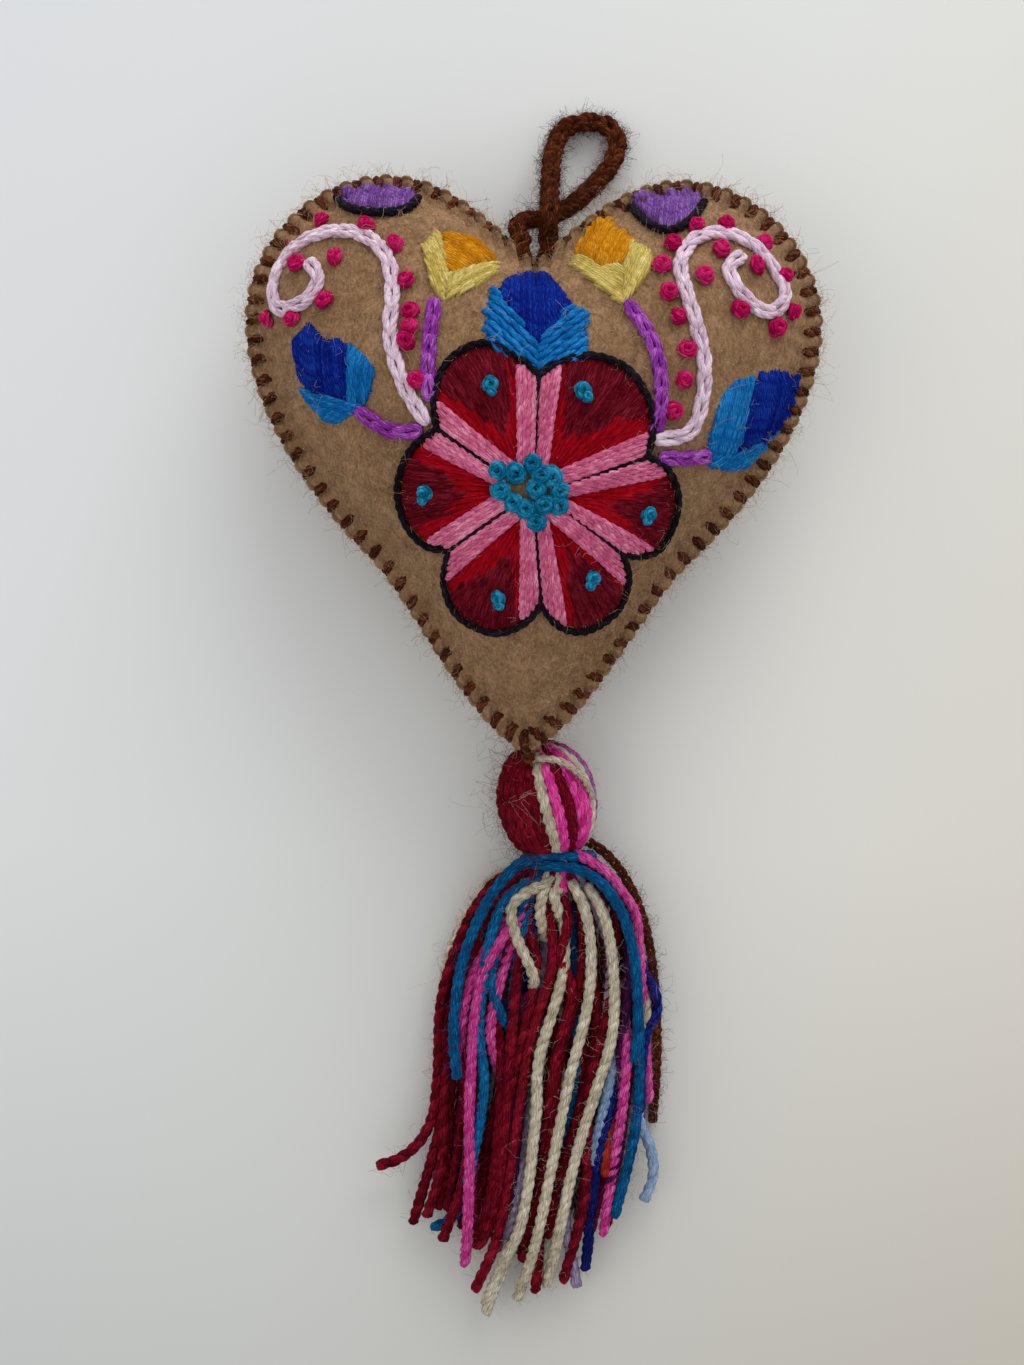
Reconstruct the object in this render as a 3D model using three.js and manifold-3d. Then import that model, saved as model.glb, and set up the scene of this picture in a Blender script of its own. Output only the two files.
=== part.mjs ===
// Embroidered wool heart ornament: a stuffed felt heart with an embroidered front, whip-stitched
// round its rim, with a crocheted hanging loop at the notch and a yarn tassel at the tip.
// It lies on its back. Millimetres, +Z up through the embroidered front, +Y towards the notch.
// The origin is the middle of the flattened back, on the surface that the heart rests on.

import * as THREE from 'three';
import { mergeVertices } from 'three/addons/utils/BufferGeometryUtils.js';
import Module from 'manifold-3d';

const wasm = await Module();
wasm.setup();

// Spacing that touching pieces keep
const CLEARANCE = 0.3;

// Driving dimensions of the heart
const HEART_HALF_WIDTH = 49.7;
const WIDEST_Y = 13.5;
const LOBE_TOP = [25.5, 38.2];
const NOTCH_Y = 23.4;
const SHOULDER = [27.5, -27.6];
const TIP_Y = -61;
const HEART_MIDDLE = [0, 2];
const FELT = 1.6;
const SEAM_Z = 19;
const FRONT_CROWN = 19.5;
const BACK_FLAT_DEPTH = 1;
const FLANGE = 2.8;
const NOTCH_FLANGE = 1.6;
const FILL_CLEARANCE = 0.4;
const CROWN_POWER = 0.54;

// How far the outline runs straight into each turn: at the notch, the lobe's top, the widest
// place, the shoulder and the tip
const NOTCH_HANDLE = [5, 4.1];
const LOBE_HANDLES = [11.5, 13];
const WIDEST_HANDLES = [13, 15];
const SHOULDER_SLOPE = [0.72, 0.694];
const SHOULDER_HANDLES = [15.3, 10.4];
const TIP_HANDLE = [10.5, 5];

// The narrower flange lies within this reach of the notch
const NOTCH_REACH = 12;

// Embroidery: how far the wool stands on the felt, and the widths of its lines
const STITCH_RISE = 1;
const STITCH_EDGE = 0.55;
const PAD_LIFT = 0.3;
const PETAL_STEPS = 6;
const PAD_EDGE = 4.5;
const SHARPEST_MITRE = 0.6;
const LIFT_STEP = 0.1;
const LEAST_GAP = 0.2;
const CONTOUR_WIDTH = 1.2;
const SCROLL_WIDTH = 2.2;
const STEM_WIDTH = 1.8;
const UNDERLINE_WIDTH = 1;

// The flower: six petals between divider angles in degrees, each with its own reach
const FLOWER = [0.3, -17.6];
const PETAL_NOTCH = 18.2;
const PETAL_ROOT = 5.6;
const PETALS = [
  { name: 'upper_left', from: 89, to: 149, reach: 25.2 },
  { name: 'left', from: 149, to: 215, reach: 22.6 },
  { name: 'lower_left', from: 215, to: 274, reach: 24.3 },
  { name: 'lower_right', from: 274, to: 326, reach: 24 },
  { name: 'right', from: 326, to: 381, reach: 23.8 },
  { name: 'upper_right', from: 21, to: 89, reach: 24.4 },
];
const PETAL_DOT_SHARE = 0.7;
const KNOT_RADIUS = 1.9;
const KNOT_SIDES = 6;
const CENTRE_KNOTS_OUTER = 8;
const CENTRE_KNOTS_INNER = 3;

// Hanging loop: a crocheted chain whose two ends are sewn side by side into the notch
const LOOP_CORD = 3.7;
const LOOP_ROOT_Y = NOTCH_Y + 4.8;
const LOOP_ROOT_HALF_GAP = 2.2;
const LOOP_REACH_Y = LOOP_ROOT_Y + 25.8;

// Tassel: the knot at the tip, the wrapped head and the neck under it
const TIE_KNOT_RADIUS = 1.2;
const TIE_KNOT = [0.4, TIP_Y - TIE_KNOT_RADIUS - CLEARANCE, SEAM_Z];
const TIE_THREAD = 1;
const HEAD_HALF_LENGTH = 10.4;
const HEAD_RADIUS = 8.9;
const HEAD_MIDDLE = [TIE_KNOT[0] + 3.5, TIE_KNOT[1] - HEAD_HALF_LENGTH + 2.7, HEAD_RADIUS + 1.1];
const HEAD_RIBS = 24;
const RIB_DEPTH = 0.5;
const HEAD_TWIST = 0.35;
const HEAD_MOUTH = 0.3;
const HEAD_NECK_MOUTH = 0.45;
const YARN = 2.2;
const NECK_LENGTH = 5.2;
const NECK_RADIUS = 5;
const NECK_Y = HEAD_MIDDLE[1] - HEAD_HALF_LENGTH - NECK_LENGTH / 2;
const NECK = [HEAD_MIDDLE[0] + 2.3, NECK_Y, HEAD_MIDDLE[2] - 2.4];
const ROW_PITCH = 2.15;
const NECK_TIE_YARN = 1.9;
const NECK_TIE_PITCH = 2.4;
const NECK_TIE_START = -20;
const NECK_TIE_END = 380;
const NECK_TIE_STEP = 20;

// Skirt: rows of strands lying on each other, how wide and long they spread, the share of the
// neck's width that they fill, how far they reach into it, and how unlike their lengths are
const SKIRT_ROWS = ['lowest', 'lower', 'upper', 'uppermost'];
const STRANDS_PER_ROW = 9;
const STRAND_WIDTH = 2;
const STRAND_HEIGHT = 2;
const STRAND_STEPS = 9;
const ROOT_EASE = 1.35;
const SKIRT_HALF_WIDTH = 17;
const SKIRT_LENGTH = 64.2;
const FAN_LENGTH = 18;
const PACKED_SHARE = 0.86;
const PACKED_WIDTH = 0.6;
const STRAND_ROOT = 0.6;
const UNEVEN_ENDS = 6;
const OUTER_LONGER = 5;
const ROW_SHORTER = 2;

// Tail cord, which comes out between the tassel's head and its neck
const TAIL_CORD = 1.8;
const TAIL_ROOT = [NECK[0] + 6.7, NECK[1] + 4.6, NECK[2] + 0.6];

// How finely the felt is faceted
const HALF_SECTORS = 30;
const SECTORS = 2 * HALF_SECTORS;
const RINGS = 6;
const MEMBRANE_PASSES = 400;
const OVER_RELAXED = 1.6;

// Small helpers for closed shapes

const flat = (x, y) => new THREE.Vector2(x, y);
const at = (x, y, z) => new THREE.Vector3(x, y, z);

function signedVolume(geometry) {
  const corner = geometry.getAttribute('position');
  const index = geometry.getIndex();
  const a = new THREE.Vector3();
  const b = new THREE.Vector3();
  const c = new THREE.Vector3();
  let total = 0;
  for (let i = 0; i < index.count; i += 3) {
    a.fromBufferAttribute(corner, index.getX(i));
    b.fromBufferAttribute(corner, index.getX(i + 1));
    c.fromBufferAttribute(corner, index.getX(i + 2));
    total += a.dot(b.cross(c)) / 6;
  }
  return total;
}

function closedShape(points, triangles) {
  const geometry = new THREE.BufferGeometry();
  const places = points.flatMap((p) => p.toArray());
  geometry.setAttribute('position', new THREE.Float32BufferAttribute(places, 3));
  geometry.setIndex(triangles.flat());
  if (signedVolume(geometry) < 0) {
    geometry.setIndex(triangles.flatMap(([i, j, k]) => [i, k, j]));
  }
  return geometry;
}

// A skin through a row of rings, each with as many points, closed by a point at either end
// or joined end to end.
function loft(rings, first = null, last = null) {
  const around = rings[0].length;
  const points = rings.flat();
  const triangles = [];
  const spans = first ? rings.length - 1 : rings.length;
  for (let i = 0; i < spans; i += 1) {
    const here = i * around;
    const next = ((i + 1) % rings.length) * around;
    for (let j = 0; j < around; j += 1) {
      const k = (j + 1) % around;
      triangles.push([here + j, here + k, next + k], [here + j, next + k, next + j]);
    }
  }
  if (first) {
    points.push(first, last);
    const end = (rings.length - 1) * around;
    for (let j = 0; j < around; j += 1) {
      const k = (j + 1) % around;
      triangles.push([points.length - 2, k, j], [points.length - 1, end + j, end + k]);
    }
  }
  return closedShape(points, triangles);
}

const middleOf = (ring) => ring.reduce((sum, p) => sum.add(p), at(0, 0, 0)).divideScalar(ring.length);

function toManifold(geometry) {
  const plain = geometry.clone();
  plain.deleteAttribute('normal');
  plain.deleteAttribute('uv');
  const merged = mergeVertices(plain, 1e-4);
  return new wasm.Manifold(new wasm.Mesh({
    numProp: 3,
    vertProperties: new Float32Array(merged.getAttribute('position').array),
    triVerts: new Uint32Array(merged.getIndex().array),
  }));
}

function fromManifold(manifold) {
  const mesh = manifold.getMesh();
  const geometry = new THREE.BufferGeometry();
  geometry.setAttribute('position', new THREE.Float32BufferAttribute(mesh.vertProperties, 3));
  geometry.setIndex(Array.from(mesh.triVerts));
  return geometry;
}

function joined(geometries) {
  return fromManifold(geometries.map(toManifold).reduce((whole, more) => whole.add(more)));
}

// The heart's outline: four cubic curves from notch to tip down the right, and their mirror

function rightSide() {
  const side = new THREE.CurvePath();
  const curve = (...p) => side.add(new THREE.CubicBezierCurve(...p.map(([x, y]) => flat(x, y))));
  const [topX, topY] = LOBE_TOP;
  const widest = [HEART_HALF_WIDTH, WIDEST_Y];
  const belowTop = [topX + LOBE_HANDLES[1], topY];
  const aboveWidest = [HEART_HALF_WIDTH, WIDEST_Y + WIDEST_HANDLES[0]];
  const belowWidest = [HEART_HALF_WIDTH, WIDEST_Y - WIDEST_HANDLES[1]];
  const onSlope = (length) => SHOULDER.map((v, n) => v + SHOULDER_SLOPE[n] * length);
  const besideTip = [TIP_HANDLE[0], TIP_Y + TIP_HANDLE[1]];
  const besideNotch = [NOTCH_HANDLE[0], NOTCH_Y + NOTCH_HANDLE[1]];
  curve([0, NOTCH_Y], besideNotch, [topX - LOBE_HANDLES[0], topY], LOBE_TOP);
  curve(LOBE_TOP, belowTop, aboveWidest, widest);
  curve(widest, belowWidest, onSlope(SHOULDER_HANDLES[0]), SHOULDER);
  curve(SHOULDER, onSlope(-SHOULDER_HANDLES[1]), besideTip, [0, TIP_Y]);
  return side;
}

function heartOutline(count) {
  const half = rightSide().getSpacedPoints(count / 2);
  const mirrored = half.slice(1, -1).reverse().map((p) => flat(-p.x, p.y));
  return half.concat(mirrored);
}

// Both panels are dished like a blown-up membrane held at the seam, which lies inside the rim

const middle = flat(...HEART_MIDDLE);
const outline = heartOutline(SECTORS);

const seam = outline.map((p, j) => {
  const before = outline[(j + SECTORS - 1) % SECTORS];
  const after = outline[(j + 1) % SECTORS];
  const along = after.clone().sub(before).normalize();
  const ray = p.clone().sub(middle);
  const facing = Math.abs(ray.x * along.y - ray.y * along.x) / ray.length();
  const above = THREE.MathUtils.smoothstep(p.y, NOTCH_Y - NOTCH_REACH / 3, NOTCH_Y + NOTCH_REACH / 6);
  const nearNotch = above * Math.max(1 - Math.abs(p.x) / NOTCH_REACH, 0);
  const inset = THREE.MathUtils.lerp(FLANGE, NOTCH_FLANGE, nearNotch) / Math.max(facing, 0.5);
  return middle.clone().add(ray.setLength(ray.length() - inset));
});

// Rings draw closer together towards the seam, where the felt turns down
const ringShare = (i) => Math.sin((Math.PI / 2) * (i / RINGS));

const planPoints = [middle];
for (let i = 1; i <= RINGS; i += 1) {
  seam.forEach((p) => planPoints.push(middle.clone().lerp(p, ringShare(i))));
}

const planTriangles = [];
for (let j = 0; j < SECTORS; j += 1) {
  const k = (j + 1) % SECTORS;
  planTriangles.push([0, 1 + k, 1 + j]);
  for (let i = 1; i < RINGS; i += 1) {
    const a = 1 + (i - 1) * SECTORS;
    const b = a + SECTORS;
    planTriangles.push([a + j, a + k, b + k], [a + j, b + k, b + j]);
  }
}

// The height of an evenly loaded membrane, solved on the plan's triangles with cotangent weights
function membrane() {
  const links = planPoints.map(() => new Map());
  const load = planPoints.map(() => 0);
  const link = (a, b, weight) => {
    links[a].set(b, (links[a].get(b) ?? 0) + weight);
    links[b].set(a, (links[b].get(a) ?? 0) + weight);
  };
  for (const corners of planTriangles) {
    const [p, q, r] = corners.map((i) => planPoints[i]);
    const doubleArea = Math.abs(q.clone().sub(p).cross(r.clone().sub(p)));
    corners.forEach((here, n) => {
      const one = corners[(n + 1) % 3];
      const other = corners[(n + 2) % 3];
      const u = planPoints[one].clone().sub(planPoints[here]);
      const v = planPoints[other].clone().sub(planPoints[here]);
      link(one, other, u.dot(v) / (2 * doubleArea));
      load[here] += doubleArea / 6;
    });
  }
  const height = planPoints.map(() => 0);
  const free = 1 + (RINGS - 1) * SECTORS;
  for (let pass = 0; pass < MEMBRANE_PASSES; pass += 1) {
    for (let i = 0; i < free; i += 1) {
      let sum = load[i];
      let weights = 0;
      for (const [j, weight] of links[i]) {
        sum += weight * height[j];
        weights += weight;
      }
      height[i] += OVER_RELAXED * (sum / weights - height[i]);
    }
  }
  const top = Math.max(...height);
  return height.map((h) => Math.max(h / top, 0) ** CROWN_POWER);
}

const dish = membrane();

// Outer face of a panel as points, with the way out of the felt at each
function outerFace(crown, side) {
  const rimZ = SEAM_Z + side * (CLEARANCE / 2 + FELT);
  const points = planPoints.map((p, i) => at(p.x, p.y, Math.max(rimZ + side * crown * dish[i], 0)));
  const normals = points.map(() => at(0, 0, 0));
  for (const [i, j, k] of planTriangles) {
    const face = points[j].clone().sub(points[i]).cross(points[k].clone().sub(points[i]));
    if (face.z * side < 0) face.negate();
    [i, j, k].forEach((n) => normals[n].add(face));
  }
  const atSeam = 1 + (RINGS - 1) * SECTORS;
  normals.forEach((n, i) => (i < atSeam ? n.normalize() : n.set(0, 0, side)));
  return { points, normals, rimZ };
}

const BACK_CROWN = SEAM_Z - CLEARANCE / 2 - FELT + BACK_FLAT_DEPTH;
const front = outerFace(FRONT_CROWN, 1);
const back = outerFace(BACK_CROWN, -1);

const ringAt = (points, i) => points.slice(1 + i * SECTORS, 1 + (i + 1) * SECTORS);
const ringsOf = (points) => Array.from({ length: RINGS }, (_, i) => ringAt(points, i));

function panel(face, side) {
  const inner = face.points.map((p, i) => p.clone().addScaledVector(face.normals[i], -FELT));
  const rim = (z) => outline.map((p) => at(p.x, p.y, z));
  const rings = [
    ...ringsOf(face.points),
    rim(face.rimZ),
    rim(face.rimZ - side * FELT),
    ...ringsOf(inner).reverse(),
  ];
  return loft(rings, face.points[0], inner[0]);
}

// The filling follows the inside of both panels, short of the seam
function filling() {
  const inset = FELT + FILL_CLEARANCE;
  const shrunk = ({ points, normals }) => points.map((p, i) => p.clone().addScaledVector(normals[i], -inset));
  const upper = shrunk(front);
  const lower = shrunk(back);
  const short = (points) => ringsOf(points).slice(0, -2);
  return loft([...short(upper), ...short(lower).reverse()], upper[0], lower[0]);
}

// Places on the embroidered face: the point of the felt under (x, y), and the way out of it
function onFelt(x, y, lift) {
  for (const [i, j, k] of planTriangles) {
    const a = planPoints[i];
    const b = planPoints[j];
    const c = planPoints[k];
    const whole = (b.x - a.x) * (c.y - a.y) - (c.x - a.x) * (b.y - a.y);
    const u = ((b.x - x) * (c.y - y) - (c.x - x) * (b.y - y)) / whole;
    const v = ((c.x - x) * (a.y - y) - (a.x - x) * (c.y - y)) / whole;
    if (u >= -1e-9 && v >= -1e-9 && u + v <= 1 + 1e-9) {
      const w = 1 - u - v;
      const blend = (list) => at(0, 0, 0)
        .addScaledVector(list[i], u)
        .addScaledVector(list[j], v)
        .addScaledVector(list[k], w);
      return blend(front.points).addScaledVector(blend(front.normals).normalize(), lift);
    }
  }
  return at(x, y, front.rimZ + lift);
}

// Colours and finishes

const yarn = (color) => new THREE.MeshStandardMaterial({ color, roughness: 0.92, metalness: 0 });
const feltTan = yarn('#8b7157');
const fleece = yarn('#e6e0d2');

const heart = new THREE.Group();
const ornament = new THREE.Group();
ornament.add(heart);

function place(group, name, geometry, material) {
  const mesh = new THREE.Mesh(geometry, material);
  mesh.name = name;
  group.add(mesh);
  return mesh;
}

place(heart, 'front_panel', panel(front, 1), feltTan);
place(heart, 'back_panel', panel(back, -1), feltTan);
place(heart, 'stuffing', filling(), fleece);

// Embroidery. A pad is a filled patch of satin stitch inside an outline; a band is a line of
// stitches along a path. Both follow the felt, lowest at their edges.

function insetOutline(points, distance) {
  const turn = THREE.ShapeUtils.area(points) > 0 ? 1 : -1;
  return points.map((p, i) => {
    const into = p.clone().sub(points[(i + points.length - 1) % points.length]).normalize();
    const out = points[(i + 1) % points.length].clone().sub(p).normalize();
    const inward = flat(-(into.y + out.y), into.x + out.x).normalize().multiplyScalar(turn);
    const spread = Math.max(Math.abs(inward.x * -out.y + inward.y * out.x), SHARPEST_MITRE);
    return p.clone().addScaledVector(inward, distance / spread);
  });
}

// An outline with its long stretches divided, so that a patch bends with the felt
function divided(points) {
  return points.flatMap((p, i) => {
    const next = points[(i + 1) % points.length];
    const count = Math.max(Math.ceil(p.distanceTo(next) / PAD_EDGE), 1);
    return Array.from({ length: count }, (_, n) => p.clone().lerp(next, n / count));
  });
}

// The least lift, in small steps, at which a shape clears the faceted face that it lies on
const frontFelt = toManifold(panel(front, 1));

function seated(build, under = frontFelt, lowest = PAD_LIFT) {
  let lift = lowest;
  let shape = build(lift);
  while (under.minGap(toManifold(shape), 1) < LEAST_GAP) {
    lift += LIFT_STEP;
    shape = build(lift);
  }
  return shape;
}

function pad(corners, steps) {
  const points = divided(corners);
  return seated((lift) => padAt(points, steps, lift));
}

function padAt(points, steps, base) {
  const centre = points.reduce((sum, p) => sum.add(p), flat(0, 0)).divideScalar(points.length);
  const ring = (share, lift) => points.map((p) => {
    const q = centre.clone().lerp(p, share);
    return onFelt(q.x, q.y, base + lift);
  });
  const shares = Array.from({ length: steps }, (_, i) => (i + 1) / steps);
  const rise = (share) => STITCH_EDGE + (STITCH_RISE - STITCH_EDGE) * (1 - share ** 3);
  const upper = shares.map((share) => ring(share, rise(share)));
  const lower = shares.map((share) => ring(share, 0)).reverse();
  const top = onFelt(centre.x, centre.y, base + STITCH_RISE);
  const bottom = onFelt(centre.x, centre.y, base);
  return loft([...upper, ...lower], top, bottom);
}

// The width at a share of a band's length, where its widths are spaced evenly along it
function widthAt(widths, share) {
  const spot = share * (widths.length - 1);
  const left = Math.floor(spot);
  return THREE.MathUtils.lerp(widths[left], widths[left + 1] ?? widths[left], spot - left);
}

function bandRing(centre, across, width, base) {
  const edge = across.clone().multiplyScalar(width / 2);
  const shoulder = base + STITCH_EDGE;
  return [
    onFelt(centre.x - edge.x, centre.y - edge.y, base),
    onFelt(centre.x + edge.x, centre.y + edge.y, base),
    onFelt(centre.x + edge.x, centre.y + edge.y, shoulder),
    onFelt(centre.x, centre.y, base + STITCH_RISE),
    onFelt(centre.x - edge.x, centre.y - edge.y, shoulder),
  ];
}

const band = (path, widths, steps) => seated((lift) => bandAt(path, widths, steps, lift));

function bandAt(path, widths, steps, base) {
  const curve = new THREE.SplineCurve(path.map(([x, y]) => flat(x, y)));
  const rings = [];
  for (let i = 0; i <= steps; i += 1) {
    const along = curve.getTangentAt(i / steps);
    const width = widthAt(widths, i / steps);
    rings.push(bandRing(curve.getPointAt(i / steps), flat(-along.y, along.x), width, base));
  }
  return loft(rings, middleOf(rings[0]), middleOf(rings[steps]));
}

// A French knot: a low round button of wound wool
function frenchKnot(x, y, radius, base) {
  const ring = (size, lift) => Array.from({ length: KNOT_SIDES }, (_, i) => {
    const angle = (2 * Math.PI * i) / KNOT_SIDES;
    return onFelt(x + size * Math.cos(angle), y + size * Math.sin(angle), base + lift);
  });
  const rings = [ring(radius * 0.8, 0), ring(radius, radius * 0.4), ring(radius * 0.6, radius * 0.85)];
  return loft(rings, onFelt(x, y, base), onFelt(x, y, base + radius));
}

const crimson = yarn('#7d0f1d');
const contourBlack = yarn('#17120f');
const teal = yarn('#0b7fa6');
const royalBlue = yarn('#123f9e');
const skyBlue = yarn('#1c82c4');
const orange = yarn('#ef9f12');
const lemon = yarn('#e9cf55');
const purple = yarn('#8c3fb0');
const palePink = yarn('#e2b3cd');
const violet = yarn('#b23bc0');
const rust = yarn('#5a2814');
const cream = yarn('#d9d0bd');
const magenta = yarn('#e2409f');
const blue = yarn('#0f5e9c');

const flower = flat(...FLOWER);
const onRay = (degrees, radius) => {
  const angle = THREE.MathUtils.degToRad(degrees);
  return flower.clone().add(flat(radius * Math.cos(angle), radius * Math.sin(angle)));
};

// The rounded end of a petal, from one divider to the next
function petalEnd({ from, to, reach }, steps) {
  return Array.from({ length: steps + 1 }, (_, i) => {
    const share = i / steps;
    const bulge = Math.sin(Math.PI * share) ** 0.6;
    return onRay(from + (to - from) * share, PETAL_NOTCH + (reach - PETAL_NOTCH) * bulge);
  });
}

const CONTOUR_SPACE = CONTOUR_WIDTH / 2 + CLEARANCE + 0.1;

for (const petal of PETALS) {
  const loop = [onRay(petal.from, PETAL_ROOT), ...petalEnd(petal, PETAL_STEPS), onRay(petal.to, PETAL_ROOT)];
  const shape = pad(insetOutline(loop, CONTOUR_SPACE), 4);
  place(heart, `petal_${petal.name}`, shape, crimson);
  const spot = onRay((petal.from + petal.to) / 2, petal.reach * PETAL_DOT_SHARE);
  const dot = (lift) => frenchKnot(spot.x, spot.y, KNOT_RADIUS, lift);
  place(heart, `petal_dot_${petal.name}`, seated(dot, toManifold(shape), PAD_LIFT + STITCH_RISE), teal);
}

// The black contour runs round all six petals and along the dividers between them
function contour(base) {
  const path = PETALS.flatMap((petal) => petalEnd(petal, PETAL_STEPS).slice(0, -1));
  const rings = path.map((p, i) => {
    const before = path[(i + path.length - 1) % path.length];
    const after = path[(i + 1) % path.length];
    const along = after.clone().sub(before).normalize();
    return bandRing(p, flat(-along.y, along.x), CONTOUR_WIDTH, base);
  });
  const spokes = PETALS.map(({ from }) => {
    const outer = onRay(from, PETAL_NOTCH);
    const inner = onRay(from, PETAL_ROOT + CONTOUR_WIDTH);
    return bandAt([inner.toArray(), outer.toArray()], [CONTOUR_WIDTH], 3, base);
  });
  return joined([loft(rings), ...spokes]);
}

place(heart, 'flower_contour', seated(contour), contourBlack);

// The flower's eye: French knots crowded into one cluster
function flowerEye(base) {
  const ringOf = (count, radius) => Array.from({ length: count }, (_, i) => {
    const p = onRay((360 * i) / count, radius);
    return frenchKnot(p.x, p.y, KNOT_RADIUS, base);
  });
  return joined([
    ...ringOf(CENTRE_KNOTS_OUTER, PETAL_ROOT - KNOT_RADIUS - 0.2),
    ...ringOf(CENTRE_KNOTS_INNER, KNOT_RADIUS * 0.8),
  ]);
}
place(heart, 'flower_eye', seated(flowerEye), teal);

const patch = (points, space) => insetOutline(points.map(([x, y]) => flat(x, y)), space);

// Leaves: a dark half and a light one that wraps round its lower side
place(heart, 'leaf_left_dark', pad(patch([
  [-38.1, 10.2], [-35, 7.4], [-31.8, 6.4], [-31.4, 2], [-31.4, -2.2],
  [-34.6, -1.4], [-38, 0.2], [-40.2, 4.4], [-40.2, 8.4],
], CLEARANCE), 2), royalBlue);
place(heart, 'leaf_left_light', band([
  [-29.4, 5.6], [-28.6, 1.4], [-29, -2.6], [-32.2, -4.4], [-36, -3.8], [-38.4, -1.6],
], [1.6, 3.8, 3.6, 2.8, 2.4, 1.4], 10), skyBlue);
place(heart, 'leaf_right_dark', pad(patch([
  [37.6, 3], [41.1, 4.7], [44.6, 4.2], [44.4, 0.4], [42.4, -4.2],
  [39.4, -6.6], [35.4, -8.4], [36, -4], [36.8, 0],
], CLEARANCE), 2), royalBlue);
place(heart, 'leaf_right_light', band([
  [35.6, 3], [33.8, -1], [32.2, -5.4], [31.6, -9.4], [35, -10.6], [38.8, -9.2], [41.6, -7],
], [1.4, 3.2, 3.4, 3.2, 2.4, 2, 1.2], 12), skyBlue);
place(heart, 'leaf_top_dark', pad(patch([
  [-5.2, 14.6], [-4, 17.6], [-0.8, 19.6], [2.4, 19.4], [4.2, 17],
  [6, 13.4], [5.6, 11.4], [0.7, 8], [-5, 11.6],
], CLEARANCE), 2), royalBlue);
place(heart, 'leaf_top_light', band([
  [-7.2, 14.4], [-7, 10.6], [-3.8, 8], [0.7, 5.6], [5, 8], [7.6, 10.4], [8, 13.2],
], [1.2, 2.2, 2.6, 3.2, 2.6, 2.2, 1.2], 12), skyBlue);

// Buds: an orange heart in a lemon calyx
place(heart, 'bud_left_orange', pad(patch([
  [-15.9, 26.3], [-13.7, 26.9], [-11.2, 26.4], [-8.4, 24.6],
  [-7.2, 23], [-10, 21], [-14, 19.3], [-15.4, 22.4],
], CLEARANCE), 2), orange);
place(heart, 'bud_left_lemon', band([
  [-17.6, 25.4], [-17.2, 20.6], [-15.4, 16.8], [-11.4, 18], [-7.2, 20.4],
], [1.4, 2.6, 3, 2.6, 1.4], 10), lemon);
place(heart, 'bud_right_orange', pad(patch([
  [12.6, 30.6], [14.4, 28.6], [15.8, 26.4], [15.6, 23], [14.6, 20.6],
  [11, 21.2], [8.6, 23], [8, 25.4], [9.8, 28.8],
], CLEARANCE), 2), orange);
place(heart, 'bud_right_lemon', band([
  [6.8, 23.8], [8.6, 20.6], [11.4, 18], [14.6, 16.8], [17.2, 19.6], [18, 24],
], [1.4, 2.4, 2.6, 2.8, 2.6, 1.4], 10), lemon);

// Berries under the lobes' tops, each over a dark underline
place(heart, 'berry_left', pad(patch([
  [-34, 34.4], [-33.2, 35.6], [-30.2, 36], [-27, 36], [-23.6, 35.8],
  [-21.6, 34.6], [-22.4, 32.6], [-26, 31.6], [-30.2, 31.8],
], CLEARANCE), 2), purple);
place(heart, 'berry_left_underline', band([
  [-34.8, 32.4], [-31.8, 30.4], [-27, 29.8], [-22.8, 30.6], [-20.6, 32.4],
], [UNDERLINE_WIDTH], 8), contourBlack);
place(heart, 'berry_right', pad(patch([
  [17.8, 35.4], [21.5, 36], [25.8, 36], [28, 34.6], [27.2, 31.6], [24.8, 29.2], [21.8, 28.6], [19.6, 30.8],
], CLEARANCE), 2), purple);
place(heart, 'berry_right_underline', band([
  [16.4, 33.4], [18.4, 29.6], [21.4, 27.2], [25.2, 27.8], [28, 30.4], [29.2, 33.2],
], [UNDERLINE_WIDTH], 10), contourBlack);

// Chain-stitched scrolls and stems
place(heart, 'scroll_left', band([
  [-18.2, -6], [-20.6, -1.7], [-23, 4.4], [-23.7, 10.6],
  [-24, 17], [-25.4, 22.4], [-29.2, 25.6], [-34, 26.6],
  [-39.6, 25.4], [-43.6, 22.2], [-44.8, 18], [-42.8, 14.4], [-38.6, 14.6], [-36.9, 17.4], [-37.6, 20.6],
], [SCROLL_WIDTH], 28), palePink);
place(heart, 'scroll_right', band([
  [21.8, -8.6], [25.4, -7.2], [27.4, -3.6], [28.2, 2], [27.4, 8.1], [25.4, 14.8], [24.1, 21], [26.4, 25.6],
  [31.2, 27.4], [36.5, 26], [40.6, 22], [42.4, 17], [39.6, 13.8], [35.4, 15.4], [32.8, 19.2], [34.4, 23.2],
], [SCROLL_WIDTH], 30), palePink);
place(heart, 'stem_left_upper', band([
  [-16.2, 12.6], [-16.7, 9.6], [-17.2, 6.4], [-17.3, 1],
], [STEM_WIDTH], 5), violet);
place(heart, 'stem_left_lower', band([
  [-27.6, -6.8], [-24.5, -7.8], [-20.6, -8.4],
], [STEM_WIDTH], 4), violet);
place(heart, 'stem_right_upper', band([
  [15.6, 12.8], [17.6, 10.2], [19.6, 6.4], [20.6, 2.8], [20.9, -0.4],
], [STEM_WIDTH], 6), violet);
place(heart, 'stem_right_lower', band([
  [23.4, -11.2], [26, -11.3], [28.4, -11],
], [STEM_WIDTH], 3), violet);

// Round cords: a ring of points about each step of a smooth curve, with rounded or flat ends

function circleAt(centre, normal, binormal, radius, sides) {
  return Array.from({ length: sides }, (_, i) => {
    const angle = (2 * Math.PI * i) / sides;
    return centre.clone()
      .addScaledVector(normal, radius * Math.cos(angle))
      .addScaledVector(binormal, radius * Math.sin(angle));
  });
}

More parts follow.
